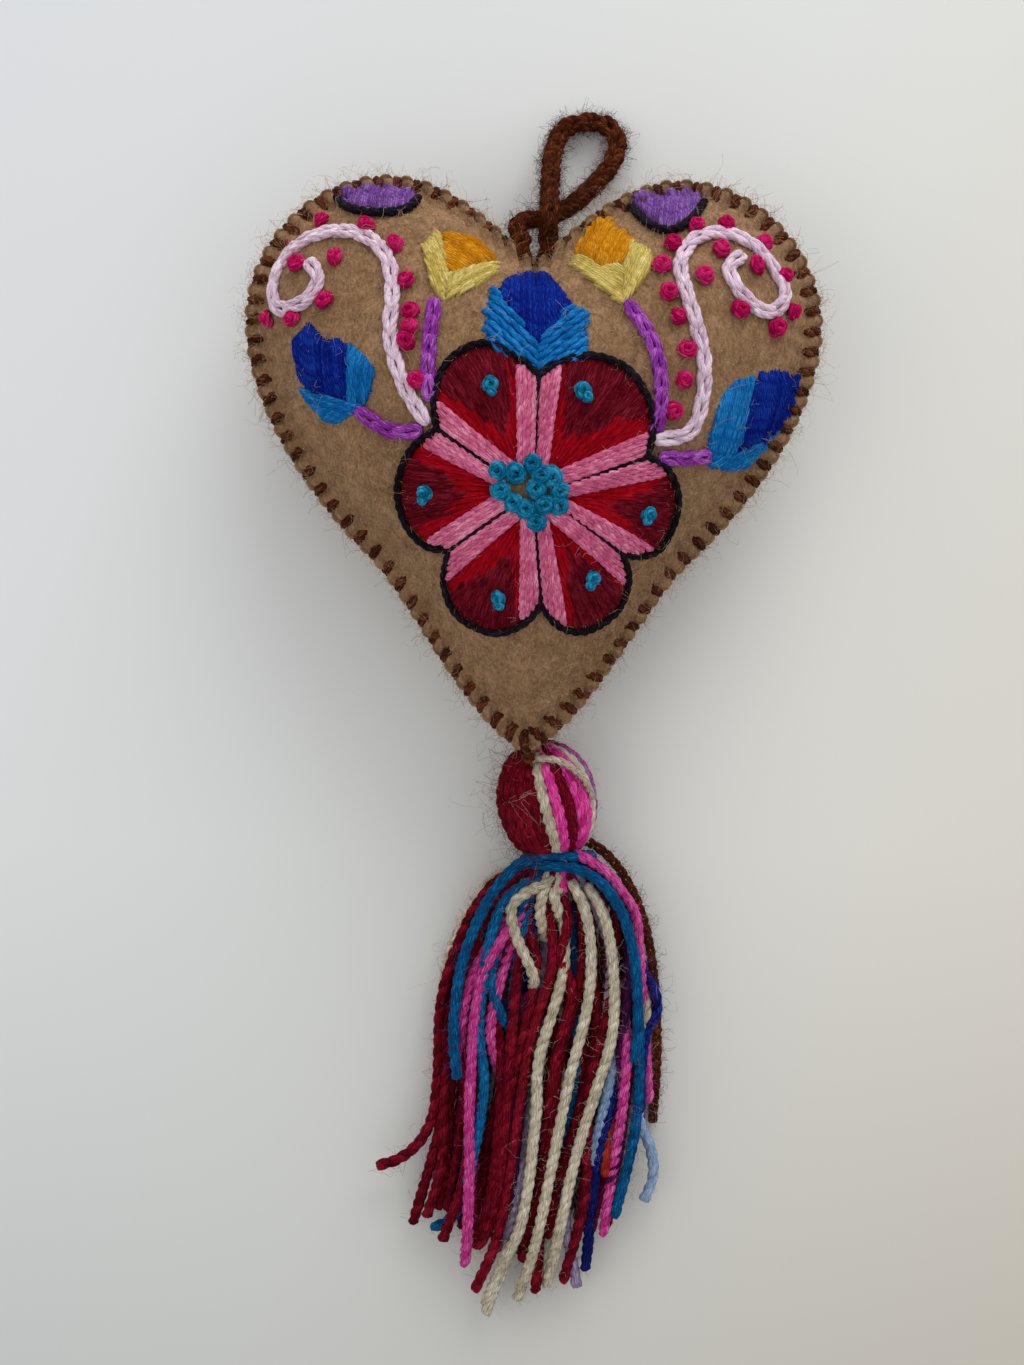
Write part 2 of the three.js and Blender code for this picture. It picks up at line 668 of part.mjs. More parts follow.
function cord(points, diameter, sides, steps) {
  const curve = new THREE.CatmullRomCurve3(points.map((p) => at(...p)), false, 'centripetal');
  const frames = curve.computeFrenetFrames(steps, false);
  const radius = diameter / 2;
  const rings = [];
  for (let i = 0; i <= steps; i += 1) {
    rings.push(circleAt(curve.getPointAt(i / steps), frames.normals[i], frames.binormals[i], radius, sides));
  }
  const roundEnd = (n, way) => {
    const centre = curve.getPointAt(n / steps).addScaledVector(frames.tangents[n], way * radius * 0.7);
    return circleAt(centre, frames.normals[n], frames.binormals[n], radius * 0.7, sides);
  };
  const pole = (n, way) => curve.getPointAt(n / steps).addScaledVector(frames.tangents[n], way * radius);
  return loft([roundEnd(0, -1), ...rings, roundEnd(steps, 1)], pole(0, -1), pole(steps, 1));
}

// Hanging loop, crossed near its root and sinking to the table at its far end
const loop = new THREE.Group();
ornament.add(loop);
const loopRest = LOOP_CORD / 2;
place(loop, 'hanging_loop', cord([
  [-LOOP_ROOT_HALF_GAP, LOOP_ROOT_Y, SEAM_Z],
  [-3.2, LOOP_ROOT_Y + 1.6, SEAM_Z - 0.6],
  [-2.2, LOOP_ROOT_Y + 3.6, SEAM_Z - 2],
  [1.6, LOOP_ROOT_Y + 4.4, SEAM_Z - 3],
  [6.2, LOOP_ROOT_Y + 7.4, 13.2],
  [10, LOOP_ROOT_Y + 11.8, 9],
  [13.6, LOOP_REACH_Y - 8.6, 4.6],
  [15, LOOP_REACH_Y - 4, loopRest + 0.6],
  [13.6, LOOP_REACH_Y - 1, loopRest + 0.06],
  [9.6, LOOP_REACH_Y, loopRest + 0.06],
  [5.2, LOOP_REACH_Y - 1.4, loopRest + 0.4],
  [3.2, LOOP_REACH_Y - 6.6, 6],
  [2.6, LOOP_ROOT_Y + 12.8, 11.6],
  [2.4, LOOP_ROOT_Y + 7.8, 17],
  [2.4, LOOP_ROOT_Y + 4.2, SEAM_Z + 1.6],
  [LOOP_ROOT_HALF_GAP, LOOP_ROOT_Y, SEAM_Z],
], LOOP_CORD, 8, 26), rust);

// The knot at the heart's tip, on which the tassel swings
const tie = new THREE.Group();
ornament.add(tie);
const knot = new THREE.SphereGeometry(TIE_KNOT_RADIUS, 10, 6);
knot.translate(...TIE_KNOT);
knot.deleteAttribute('normal');
knot.deleteAttribute('uv');
place(tie, 'tie_knot', fromManifold(toManifold(knot)), rust);

// Tassel head: one turn of yarns side by side over a core of folded yarn, open at both poles
const tassel = new THREE.Group();
ornament.add(tassel);
const headMiddle = at(...HEAD_MIDDLE);
const neck = at(...NECK);
const headAxis = neck.clone().sub(headMiddle).normalize();
const headSide = at(0, 0, 1).cross(headAxis).normalize();
const headUp = headAxis.clone().cross(headSide);

function headRing(polar, radius, halfLength, ribbed) {
  const count = HEAD_RIBS * 2;
  return Array.from({ length: count }, (_, i) => {
    const angle = (2 * Math.PI * i) / count + HEAD_TWIST * polar;
    const rib = ribbed && i % 2 ? RIB_DEPTH : 0;
    const out = (radius - rib) * Math.sin(polar);
    return headMiddle.clone()
      .addScaledVector(headAxis, -halfLength * Math.cos(polar))
      .addScaledVector(headSide, out * Math.cos(angle))
      .addScaledVector(headUp, out * Math.sin(angle));
  });
}

function headShell() {
  const span = Math.PI - HEAD_MOUTH - HEAD_NECK_MOUTH;
  const angles = (count) => Array.from({ length: count }, (_, i) => HEAD_MOUTH + (i / (count - 1)) * span);
  const outer = angles(8).map((polar) => headRing(polar, HEAD_RADIUS, HEAD_HALF_LENGTH, true));
  const inner = angles(5).map((polar) => headRing(polar, HEAD_RADIUS - YARN, HEAD_HALF_LENGTH - YARN, false));
  return loft([...outer, ...inner.reverse()]);
}

function headCore() {
  const inset = YARN + CLEARANCE * 2;
  const ring = (polar) => headRing(polar, HEAD_RADIUS - inset, HEAD_HALF_LENGTH - inset, false)
    .filter((_, i) => i % 4 === 0);
  const pole = (way) => headMiddle.clone().addScaledVector(headAxis, way * (HEAD_HALF_LENGTH - inset));
  return loft([0.5, 1, 1.57, 2.14, 2.64].map(ring), pole(-1), pole(1));
}

place(tassel, 'tassel_head', headShell(), crimson);
place(tassel, 'tassel_core', headCore(), cream);

// The thread from the knot over the head's pole down to the core
const headPole = headMiddle.clone().addScaledVector(headAxis, -HEAD_HALF_LENGTH);
const coreTop = headMiddle.clone().addScaledVector(headAxis, -(HEAD_HALF_LENGTH - YARN - CLEARANCE));
place(tassel, 'tie_thread', cord([
  [TIE_KNOT[0], TIE_KNOT[1] + 0.9, TIE_KNOT[2] - TIE_KNOT_RADIUS - CLEARANCE - TIE_THREAD],
  [headPole.x - 0.9, headPole.y + 0.3, TIE_KNOT[2] - 4],
  [headPole.x - 0.3, headPole.y + 1.3, headPole.z + 1.2],
  headPole.clone().addScaledVector(headAxis, 0.6).toArray(),
  coreTop.clone().addScaledVector(headAxis, -TIE_THREAD / 2).toArray(),
], TIE_THREAD, 6, 7), cream);

// Neck: the yarns are squeezed into slabs between the turns of the neck tie. Row 0 lies lowest.
const slabHeight = ROW_PITCH - CLEARANCE - 0.05;
const slabZ = (row) => NECK[2] + ROW_PITCH * (row - (SKIRT_ROWS.length - 1) / 2);
const settledZ = (row) => STRAND_HEIGHT / 2 + row * (STRAND_HEIGHT + CLEARANCE + 0.1);
const neckEndY = NECK[1] - NECK_LENGTH / 2;
const slabHalfWidth = (row) => {
  const off = Math.abs(slabZ(row) - NECK[2]) + slabHeight / 2;
  return Math.sqrt(NECK_RADIUS ** 2 - off ** 2);
};

function slab(row) {
  const box = new THREE.BoxGeometry(2 * slabHalfWidth(row), NECK_LENGTH, slabHeight);
  box.translate(NECK[0], NECK[1], slabZ(row));
  return box;
}

// The skirt's stations from neck to ends: distance down it, middle, spread and how far it has sunk
const STATIONS = [
  { down: 0, middle: NECK[0], spread: 0, sunk: 0 },
  { down: 2.4, middle: 6, spread: 0.5, sunk: 0.1 },
  { down: 6, middle: 5.4, spread: 0.8, sunk: 0.45 },
  { down: 13, middle: 4.8, spread: 0.95, sunk: 0.85 },
  { down: 24, middle: 4.4, spread: 1, sunk: 1 },
  { down: 38, middle: 4, spread: 1, sunk: 1 },
  { down: 50, middle: 2.4, spread: 1, sunk: 1 },
];

const rowZ = (row, sunk) => THREE.MathUtils.lerp(slabZ(row), settledZ(row), sunk);

function strand(row, turn) {
  const side = 2 * (turn / (STRANDS_PER_ROW - 1)) - 1;
  const uneven = Math.sin(5.1 * turn + 2.3 * row);
  const shorter = ROW_SHORTER * row + OUTER_LONGER * side * side;
  const endY = neckEndY - SKIRT_LENGTH + UNEVEN_ENDS * uneven + shorter;
  const stations = STATIONS.map((s) => at(
    s.middle + side * (s.spread * SKIRT_HALF_WIDTH || slabHalfWidth(row) * PACKED_SHARE),
    neckEndY - s.down,
    rowZ(row, s.sunk),
  ));
  stations[0].y += STRAND_ROOT;
  stations.push(at(side * SKIRT_HALF_WIDTH * 0.95 + 0.6 * uneven, endY, rowZ(row, 1)));
  const curve = new THREE.CatmullRomCurve3(stations, false, 'centripetal');
  const packed = (PACKED_WIDTH * 2 * slabHalfWidth(row)) / STRANDS_PER_ROW;
  const rings = [];
  for (let i = 0; i <= STRAND_STEPS; i += 1) {
    const share = (i / STRAND_STEPS) ** ROOT_EASE;
    const centre = curve.getPointAt(share);
    const along = curve.getTangentAt(share);
    const across = at(-along.y, along.x, 0).normalize();
    const over = along.clone().cross(across).normalize();
    const fan = Math.min(1, Math.max((neckEndY - centre.y) / FAN_LENGTH, 0));
    const half = THREE.MathUtils.lerp(packed, STRAND_WIDTH, fan) / 2;
    const tall = THREE.MathUtils.lerp(slabHeight - CLEARANCE, STRAND_HEIGHT, fan) / 2;
    rings.push([[-1, -1], [1, -1], [1, 1], [-1, 1]].map(([u, v]) => centre.clone()
      .addScaledVector(across, u * half)
      .addScaledVector(over, v * tall)));
  }
  return loft(rings, middleOf(rings[0]), middleOf(rings[STRAND_STEPS]));
}

const rowColours = [crimson, magenta, blue, crimson];
SKIRT_ROWS.forEach((name, row) => {
  const strands = Array.from({ length: STRANDS_PER_ROW }, (_, turn) => strand(row, turn));
  place(tassel, `skirt_row_${name}`, joined([slab(row), ...strands]), rowColours[row]);
});

// Neck tie: a blue yarn wound round the neck, whose two ends fall over the skirt

function sunkAt(down) {
  const next = Math.max(STATIONS.findIndex((s) => s.down >= down), 1);
  const a = STATIONS[next - 1];
  const b = STATIONS[next];
  return THREE.MathUtils.lerp(a.sunk, b.sunk, (down - a.down) / (b.down - a.down));
}

// The height of a yarn that lies on the uppermost row, by its place down the skirt
function onSkirt(x, y, thickness) {
  const down = Math.min(Math.max(neckEndY - y, 0), STATIONS.at(-1).down);
  const top = rowZ(SKIRT_ROWS.length - 1, sunkAt(down)) + STRAND_HEIGHT / 2;
  return [x, y, top + CLEARANCE + thickness / 2 + 0.2];
}

const windingRadius = NECK_RADIUS + CLEARANCE + NECK_TIE_YARN / 2;
const windingTop = NECK[1] + NECK_LENGTH / 2 - NECK_TIE_YARN / 2 - CLEARANCE;
const winding = [];
for (let angle = NECK_TIE_START; angle <= NECK_TIE_END; angle += NECK_TIE_STEP) {
  const turn = THREE.MathUtils.degToRad(angle);
  winding.push([
    NECK[0] + windingRadius * Math.sin(turn),
    windingTop - (NECK_TIE_PITCH * (angle - NECK_TIE_START)) / 360,
    NECK[2] + windingRadius * Math.cos(turn),
  ]);
}

// The least space between the turns of a tube, from points on its middle line, some of them to
// each diameter, that lie several diameters apart along it
const POINTS_PER_DIAMETER = 4;
const DIAMETERS_APART = 4;

function leastSelfGap(points, diameter) {
  const curve = new THREE.CatmullRomCurve3(points.map((p) => at(...p)), false, 'centripetal');
  const dense = curve.getSpacedPoints(Math.ceil((POINTS_PER_DIAMETER * curve.getLength()) / diameter));
  let least = Infinity;
  dense.forEach((p, i) => {
    const apart = dense.slice(i + POINTS_PER_DIAMETER * DIAMETERS_APART);
    apart.forEach((q) => {
      least = Math.min(least, p.distanceTo(q));
    });
  });
  return least - diameter;
}

const overSkirt = (points) => points.map(([x, y]) => onSkirt(x, y, NECK_TIE_YARN));
const leftEnd = overSkirt([
  [-11.3, -120], [-12, -113.5], [-11.8, -106.5], [-10.6, -99], [-8.4, -92.5], [-5.4, -87],
]);
const rightEnd = overSkirt([
  [14.6, -87.4], [18, -91.6], [19.6, -97], [20.6, -103], [20.9, -110], [20.5, -116.5],
]);
const neckTie = [...leftEnd, [-1.4, -82.3, 12.9], ...winding, ...rightEnd];
place(tassel, 'neck_tie', cord(neckTie, NECK_TIE_YARN, 6, 64), blue);
console.log(`neck tie's least gap to itself: ${leastSelfGap(neckTie, NECK_TIE_YARN).toFixed(2)} mm`);

// Single yarns that lie on top of the skirt
const LAID_RING_SPACING = 5;
const laid = (points) => {
  const path = points.map(([x, y, z]) => (z ? [x, y, z] : onSkirt(x, y, STRAND_WIDTH)));
  const drop = path[0][1] - path.at(-1)[1];
  return cord(path, STRAND_WIDTH, 6, Math.round(drop / LAID_RING_SPACING));
};
place(tassel, 'cream_yarn_left', laid([
  [6.6, -87.6], [7.6, -93], [7.6, -100], [5.6, -108], [3.2, -117],
  [3, -126], [0.6, -146], [-2.4, -154, 7], [-5.6, -163, 3],
]), cream);
place(tassel, 'cream_yarn_middle', laid([
  [9.4, -87.6], [11.6, -92], [12.4, -99], [11.6, -108], [8.8, -120],
  [6.4, -133], [4, -146], [2.4, -154, 7], [0.2, -162, 3],
]), cream);
place(tassel, 'cream_yarn_right', laid([
  [12.2, -88.4], [15, -93], [16.4, -101], [16.3, -112], [13.6, -122],
  [10.4, -133], [7.9, -145], [6.8, -152, 8], [5.6, -159, 4],
]), cream);
place(tassel, 'magenta_yarn_left', laid([
  [-1.2, -91.6], [-4.4, -96], [-7, -101.4], [-8.4, -110], [-8.8, -118],
  [-9, -126], [-8.8, -136], [-9, -147], [-9.4, -154.5, 9.6],
]), magenta);

// Tail cord: a thin crocheted chain from the neck, lying beside the skirt
const tail = new THREE.Group();
ornament.add(tail);
const tailRest = TAIL_CORD / 2 + 0.05;
place(tail, 'tail_cord', cord([
  TAIL_ROOT,
  [15.2, -80.2, 7.6],
  [18, -83.6, 6.4],
  [20.8, -88.8, 4.8],
  [23, -95.5, 3],
  [24.3, -103, 1.6],
  [25, -110.5, tailRest],
  [25.2, -117.7, tailRest],
  [24.9, -124.5, tailRest],
  [24.6, -129.5, tailRest],
], TAIL_CORD, 8, 16), rust);

export default ornament;
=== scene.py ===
import math

import bpy
import numpy as np
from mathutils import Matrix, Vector
from mathutils.bvhtree import BVHTree


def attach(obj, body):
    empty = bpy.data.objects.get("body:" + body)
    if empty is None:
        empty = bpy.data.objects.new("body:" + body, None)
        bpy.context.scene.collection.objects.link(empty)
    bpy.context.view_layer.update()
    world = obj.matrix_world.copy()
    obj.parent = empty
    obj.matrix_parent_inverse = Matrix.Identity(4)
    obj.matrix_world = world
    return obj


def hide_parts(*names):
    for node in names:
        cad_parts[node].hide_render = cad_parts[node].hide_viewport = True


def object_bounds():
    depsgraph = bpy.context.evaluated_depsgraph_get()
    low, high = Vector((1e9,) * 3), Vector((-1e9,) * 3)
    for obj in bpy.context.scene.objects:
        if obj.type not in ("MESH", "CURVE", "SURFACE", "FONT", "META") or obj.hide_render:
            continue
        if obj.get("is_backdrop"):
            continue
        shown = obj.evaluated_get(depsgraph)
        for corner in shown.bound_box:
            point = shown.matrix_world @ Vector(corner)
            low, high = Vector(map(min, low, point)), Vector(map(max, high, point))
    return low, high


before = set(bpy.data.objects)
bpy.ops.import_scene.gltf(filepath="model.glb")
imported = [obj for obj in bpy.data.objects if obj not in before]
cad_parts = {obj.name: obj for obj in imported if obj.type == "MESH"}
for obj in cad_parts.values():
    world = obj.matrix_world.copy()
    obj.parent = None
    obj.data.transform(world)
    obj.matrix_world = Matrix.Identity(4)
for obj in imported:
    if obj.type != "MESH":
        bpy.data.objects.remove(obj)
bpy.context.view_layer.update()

# Camera
# The ornament lies on its back on a table and is seen from straight above, from a point over its tassel's
# neck, with a lens that takes in 190 mm from loop to yarn ends.
MM = 0.001

bpy.ops.object.camera_add(location=(-2.7 * MM, -49.2 * MM, 340 * MM), rotation=(0, 0, math.radians(1)))
camera = bpy.context.object
camera.data.sensor_fit = "VERTICAL"
camera.data.angle = math.radians(40.706)
bpy.context.scene.camera = camera


# Hanging loop
# A crocheted chain of rust brown worsted wool. Its two ends are sewn in between the felt panels at the notch,
# and it falls back over the notch to lie on the table beyond the heart.
def linear(code):
    """An sRGB hex colour as the linear colour that a socket takes."""
    values = [int(code[i:i + 2], 16) / 255 for i in (1, 3, 5)]
    return [v / 12.92 if v <= 0.04045 else ((v + 0.055) / 1.055) ** 2.4 for v in values] + [1]


def add_node(material, kind, sockets=None, links=None, **settings):
    """Adds a node to a material, with its settings, its sockets' values and what is linked into it."""
    node = material.node_tree.nodes.new(kind)
    for key, value in settings.items():
        setattr(node, key, value)
    for key, value in (sockets or {}).items():
        node.inputs[key].default_value = value
    for key, source in (links or {}).items():
        material.node_tree.links.new(source, node.inputs[key])
    return node


def shades(material, fac, dark, base, light):
    """A colour ramp from the dyed fibre's shaded colour over its own to its sunlit one."""
    ramp = add_node(material, "ShaderNodeValToRGB", links={"Fac": fac})
    ramp.color_ramp.elements[0].position = 0.2
    ramp.color_ramp.elements[0].color = linear(dark)
    ramp.color_ramp.elements[1].position = 0.85
    ramp.color_ramp.elements[1].color = linear(light)
    ramp.color_ramp.elements.new(0.52).color = linear(base)
    return ramp


def dyed_wool(name, dark, base, light, lay=0.5, roughness=0.9, sheen=0.1):
    """Spun and dyed wool: fibres slant along the ply as fine streaks, with painted shade in their hollows and
    pale flecks of painted highlight on their ridges; each thread takes the dye a little differently, and the
    raised fibres give a soft edge. A real fibre is 0.03 mm wide, too fine to show, so a streak is drawn 0.2
    mm wide and 1.7 mm long."""
    material = bpy.data.materials.new(name)
    material.use_nodes = True
    yarn = add_node(material, "ShaderNodeUVMap", uv_map="yarn")
    thread = add_node(material, "ShaderNodeAttribute", attribute_name="thread")
    slanted = add_node(material, "ShaderNodeMapping", {"Rotation": (0, 0, lay), "Scale": (0.2, 1.7, 1)},
                       {"Vector": yarn.outputs["UV"]}, vector_type="TEXTURE")
    shifted = add_node(material, "ShaderNodeVectorMath", links={0: slanted.outputs["Vector"],
                       1: thread.outputs["Vector"]}, operation="ADD")
    streaks = add_node(material, "ShaderNodeTexNoise", {"Scale": 1.0, "Detail": 2.0, "Roughness": 0.6},
                       {"Vector": shifted.outputs["Vector"]}, noise_dimensions="2D")
    place = add_node(material, "ShaderNodeTexCoord")
    mottle = add_node(material, "ShaderNodeTexNoise", {"Scale": 260.0, "Detail": 1.0},
                      {"Vector": place.outputs["Object"]})
    blend = add_node(material, "ShaderNodeMath", {1: 1.1, 2: -0.28}, {0: streaks.outputs["Fac"]},
                     operation="MULTIPLY_ADD")
    uneven = add_node(material, "ShaderNodeMath", {1: 0.3}, {0: mottle.outputs["Fac"],
                      2: blend.outputs["Value"]}, operation="MULTIPLY_ADD")
    tone = add_node(material, "ShaderNodeMath", {1: 0.2}, {0: thread.outputs["Fac"],
                    2: uneven.outputs["Value"]}, operation="MULTIPLY_ADD")
    # Painted shade and painted highlight: the streaks that raise the bump run from the shaded colour in their
    # hollows to the sunlit one on their ridges, over each thread's own tone
    ramp = shades(material, tone.outputs["Value"], dark, base, light)
    relief = add_node(material, "ShaderNodeBump", {"Strength": 0.55, "Distance": 0.12 * MM},
                      {"Height": streaks.outputs["Fac"]})
    shader = material.node_tree.nodes["Principled BSDF"]
    shader.inputs["Roughness"].default_value = roughness
    shader.inputs["Specular IOR Level"].default_value = 0.06
    shader.inputs["Sheen Weight"].default_value = sheen
    shader.inputs["Sheen Roughness"].default_value = 0.45
    shader.inputs["Sheen Tint"].default_value = linear(light)
    material.node_tree.links.new(ramp.outputs["Color"], shader.inputs["Base Color"])
    material.node_tree.links.new(relief.outputs["Normal"], shader.inputs["Normal"])
    return material


def dressed(piece, body, node=None):
    """Fixes a piece to the body that carries it, and has it stand for a solid."""
    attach(piece, body)
    if node:
        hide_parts(node)
    return piece


def along(points):
    """How far each point lies along its line."""
    return np.concatenate([[0], np.cumsum(np.linalg.norm(np.diff(points, axis=0), axis=1))])


def evenly(points, step):
    """The same line with a point every step of its length."""
    run = along(points)
    spots = np.linspace(0, run[-1], max(round(run[-1] / step), 2) + 1)
    return np.column_stack([np.interp(spots, run, points[:, n]) for n in range(points.shape[1])])


def through(places, step):
    """A smooth line through places given in mm, with a point every step mm, in metres."""
    p = np.array(places, float) * MM
    p = np.vstack([2 * p[0] - p[1], p, 2 * p[-1] - p[-2]])
    line = []
    for a, b, c, d in zip(p, p[1:], p[2:], p[3:]):
        strides = [np.linalg.norm(w - v) ** 0.5 for v, w in ((a, b), (b, c), (c, d))]
        knots = np.concatenate([[0], np.cumsum(strides)])
        t = np.linspace(knots[1], knots[2], 24, endpoint=False)[:, None]
        ab, bc, cd = [(v * (knots[n + 1] - t) + w * (t - knots[n])) / (knots[n + 1] - knots[n])
                      for n, (v, w) in enumerate(((a, b), (b, c), (c, d)))]
        abc = (ab * (knots[2] - t) + bc * (t - knots[0])) / (knots[2] - knots[0])
        bcd = (bc * (knots[3] - t) + cd * (t - knots[1])) / (knots[3] - knots[1])
        line.append((abc * (knots[2] - t) + bcd * (t - knots[1])) / (knots[2] - knots[1]))
    return evenly(np.vstack(line + [p[-2:-1]]), step * MM)


def frames(points):
    """The direction of a line at each point, and two sides that are carried along without twisting."""
    ahead = np.gradient(points, axis=0)
    ahead /= np.maximum(np.linalg.norm(ahead, axis=1), 1e-12)[:, None]
    side = np.zeros_like(ahead)
    carried = np.array([0.0, 0.0, 1.0]) if abs(ahead[0, 2]) < 0.9 else np.array([0.0, 1.0, 0.0])
    for n, way in enumerate(ahead):
        carried = carried - way * carried.dot(way)
        carried = carried / math.sqrt(carried.dot(carried))
        side[n] = carried
    return ahead, side, np.cross(ahead, side)


def plies(points, thickness, pitch, slot=0, count=2, start=0.0, apart=0.17):
    """The plies that are twisted round each other in one yarn, pressed together so that they overlap."""
    _, side, other = frames(points)
    turn = 2 * np.pi * along(points) / pitch + start
    threads = []
    for n in range(count):
        angle = (turn + 2 * np.pi * n / count)[:, None]
        line = points + apart * thickness * (np.cos(angle) * side + np.sin(angle) * other)
        threads.append((line, (0.5 - apart) * thickness, slot))
    return threads


def spun(name, threads, materials, sides=6):
    """A piece made of round threads. Each is its centre line, its radius and the number of its material. A
    single hair has three sides."""
    rng = np.random.default_rng(len(threads))
    corners, loops, totals, places, tones, slots = [], [], [], [], [], []
    first = 0
    for points, radius, slot in threads:
        ahead, side, other = frames(points)
        count = len(points)
        radius = np.broadcast_to(np.asarray(radius, float), (count,))
        around = 3 if radius.max() < 0.05 * MM else sides
        angle = 2 * np.pi * np.arange(around) / around
        ring = np.cos(angle)[None, :, None] * side[:, None] + np.sin(angle)[None, :, None] * other[:, None]
        tube = (points[:, None] + radius[:, None, None] * ring).reshape(-1, 3)
        poles = [points[0] - 0.5 * radius[0] * ahead[0], points[-1] + 0.5 * radius[-1] * ahead[-1]]
        corners.append(np.vstack([tube, poles]))
        i, k = np.meshgrid(np.arange(count - 1), np.arange(around), indexing="ij")
        i, k = i.ravel(), k.ravel()
        after = (k + 1) % around
        quads = np.column_stack([i * around + k, i * around + after, (i + 1) * around + after,
                                 (i + 1) * around + k])
        run = along(points) / MM
        girth = 2 * np.pi * radius.mean() / MM / around
        place = np.stack([np.column_stack([girth * (k + u), run[i + v]])
                          for u, v in ((0, 0), (1, 0), (1, 1), (0, 1))], 1)
        k = np.arange(around)
        after = (k + 1) % around
        last = (count - 1) * around
        ends = np.vstack([np.column_stack([np.full(around, count * around), after, k]),
                          np.column_stack([np.full(around, count * around + 1), last + k, last + after])])
        end_spots = np.column_stack([girth * np.tile(k + 0.5, 2), np.repeat([run[0], run[-1]], around)])
        end_place = np.stack([end_spots] * 3, 1)
        loops += [(quads + first).ravel(), (ends + first).ravel()]
        places += [place.reshape(-1, 2), end_place.reshape(-1, 2)]
        totals += [np.full(len(quads), 4), np.full(len(ends), 3)]
        tones.append(np.full(count * around + 2, rng.random()))
        slots.append(np.full(len(quads) + len(ends), slot))
        first += count * around + 2
    corners, loops, totals = np.vstack(corners), np.concatenate(loops), np.concatenate(totals)
    mesh = bpy.data.meshes.new(name)
    mesh.vertices.add(len(corners))
    mesh.vertices.foreach_set("co", corners.ravel())
    mesh.loops.add(len(loops))
    mesh.loops.foreach_set("vertex_index", loops.astype(np.int32))
    mesh.polygons.add(len(totals))
    mesh.polygons.foreach_set("loop_start", np.concatenate([[0], np.cumsum(totals)[:-1]]).astype(np.int32))
    mesh.polygons.foreach_set("material_index", np.concatenate(slots).astype(np.int32))
    mesh.update(calc_edges=True)
    mesh.uv_layers.new(name="yarn").data.foreach_set("uv", np.vstack(places).ravel())
    mesh.attributes.new("thread", "FLOAT", "POINT").data.foreach_set("value", np.concatenate(tones))
    mesh.shade_smooth()
    for material in materials:
        mesh.materials.append(material)
    piece = bpy.data.objects.new(name, mesh)
    bpy.context.collection.objects.link(piece)
    return piece


def chain(points, up, width, link, rise, waist=0.6):
    """The centre lines of a chain's links. Each comes up inside the one before and crosses over its end. The
    waist is how wide a link's beginning is beside its end."""
    run = along(points)
    count = max(round(run[-1] / link), 1)
    pitch = run[-1] / count
    ahead = np.gradient(points, axis=0)
    ahead /= np.linalg.norm(ahead, axis=1)[:, None]
    across = np.cross(up, ahead)
    across /= np.linalg.norm(across, axis=1)[:, None]
    turn = np.linspace(0, 2 * np.pi, 19)
    share = (1 - np.cos(turn)) / 2
    from_start = np.minimum(turn, 2 * np.pi - turn)
    bulge = np.sin(turn) * (waist + (1 - waist) * share)
    links = []
    for n in range(count):
        spot = np.clip((n + 1.38 * share - 0.12) * pitch, 0, run[-1])
        lateral = 0.5 * width * bulge / bulge.max()
        height = rise * (1 - 1.6 * share - 2.2 * np.exp(-(from_start / 0.35) ** 2))
        base, over, beside = [np.column_stack([np.interp(spot, run, part[:, axis]) for axis in range(3)])
                              for part in (points, up, across)]
        links.append(base + lateral[:, None] * beside + height[:, None] * over)
    return links


def loose_fibres(roots, ways, reach, thickness, rng, slot=0, curled=0.45):
    """Single hairs that stand out of the wool, curled and thinning to their ends, never under the table."""
    count, waves = (5, 5.5) if reach < 3 else (11, 12)
    share = np.linspace(0, 1, count)[:, None]
    hairs = []
    for root, way in zip(roots, ways):
        length = reach * rng.uniform(0.3, 1) * MM
        bend, curl, turned = rng.normal(0, 0.55, 3), rng.normal(0, curled, 3), rng.normal(0, curled, 3)
        curls = (curl * np.sin(waves * share) + turned * (1 - np.cos(waves * share))) * 2.75 / waves
        line = root + length * (way * share + bend * share ** 2 + curls)
        line[:, 2] = np.maximum(line[:, 2], 0.1 * MM)
        hairs.append((line, thickness * MM * np.linspace(0.5, 0.25, count), slot))
    return hairs


def stray(threads, count, reach, thickness, rng, curled=0.45):
    """Hairs that stand out of threads at random places, each of its own thread's wool."""
    hairs = []
    lengths = np.array([along(t[0])[-1] for t in threads])
    for n in rng.choice(len(threads), count, p=lengths / lengths.sum()):
        points = threads[n][0]
        at = rng.integers(1, len(points) - 1)
        way = np.cross(points[at + 1] - points[at - 1], rng.normal(0, 1, 3))
        way /= np.linalg.norm(way)
        hairs += loose_fibres([points[at]], [way], reach, thickness, rng, threads[n][2], curled)
    return hairs


LOOP_CHAIN = 3.7
LOOP_YARN = 1.7
LOOP_RUN = [(-2.2, 28.2, 19), (-3.2, 29.8, 18.4), (-2.2, 31.8, 17), (1.6, 32.6, 16), (6.2, 35.6, 13.2),
            (10, 40, 9), (13.6, 45.4, 4.6), (15, 50, 2.45), (13.6, 53, 1.91), (9.6, 54, 1.91),
            (5.2, 52.6, 2.25), (3.2, 47.4, 6), (2.6, 41, 11.6), (2.4, 36, 17), (2.4, 32.4, 20.6),
            (2.2, 28.2, 19)]
rust_wool = dyed_wool("rust brown worsted wool", "#1a0602", "#471d0c", "#824524")


def two_sided(line):
    """The yarn of a crocheted chain, whose links show on both of its faces."""
    up = frames(line)[1]
    threads = []
    for side in (0.45, -0.45):
        face = chain(line, np.sign(side) * up, (LOOP_CHAIN - LOOP_YARN) * MM, 3.6 * MM, 0.4 * MM, 0.15)
        for n, link in enumerate(face):
            raised = evenly(link, 0.35 * MM)
            nearest = np.argmin(np.linalg.norm(raised[:, None] - line[None], axis=2), axis=1)
            threads += plies(raised + side * MM * up[nearest], LOOP_YARN * MM, 3.2 * MM, start=n)
    return threads


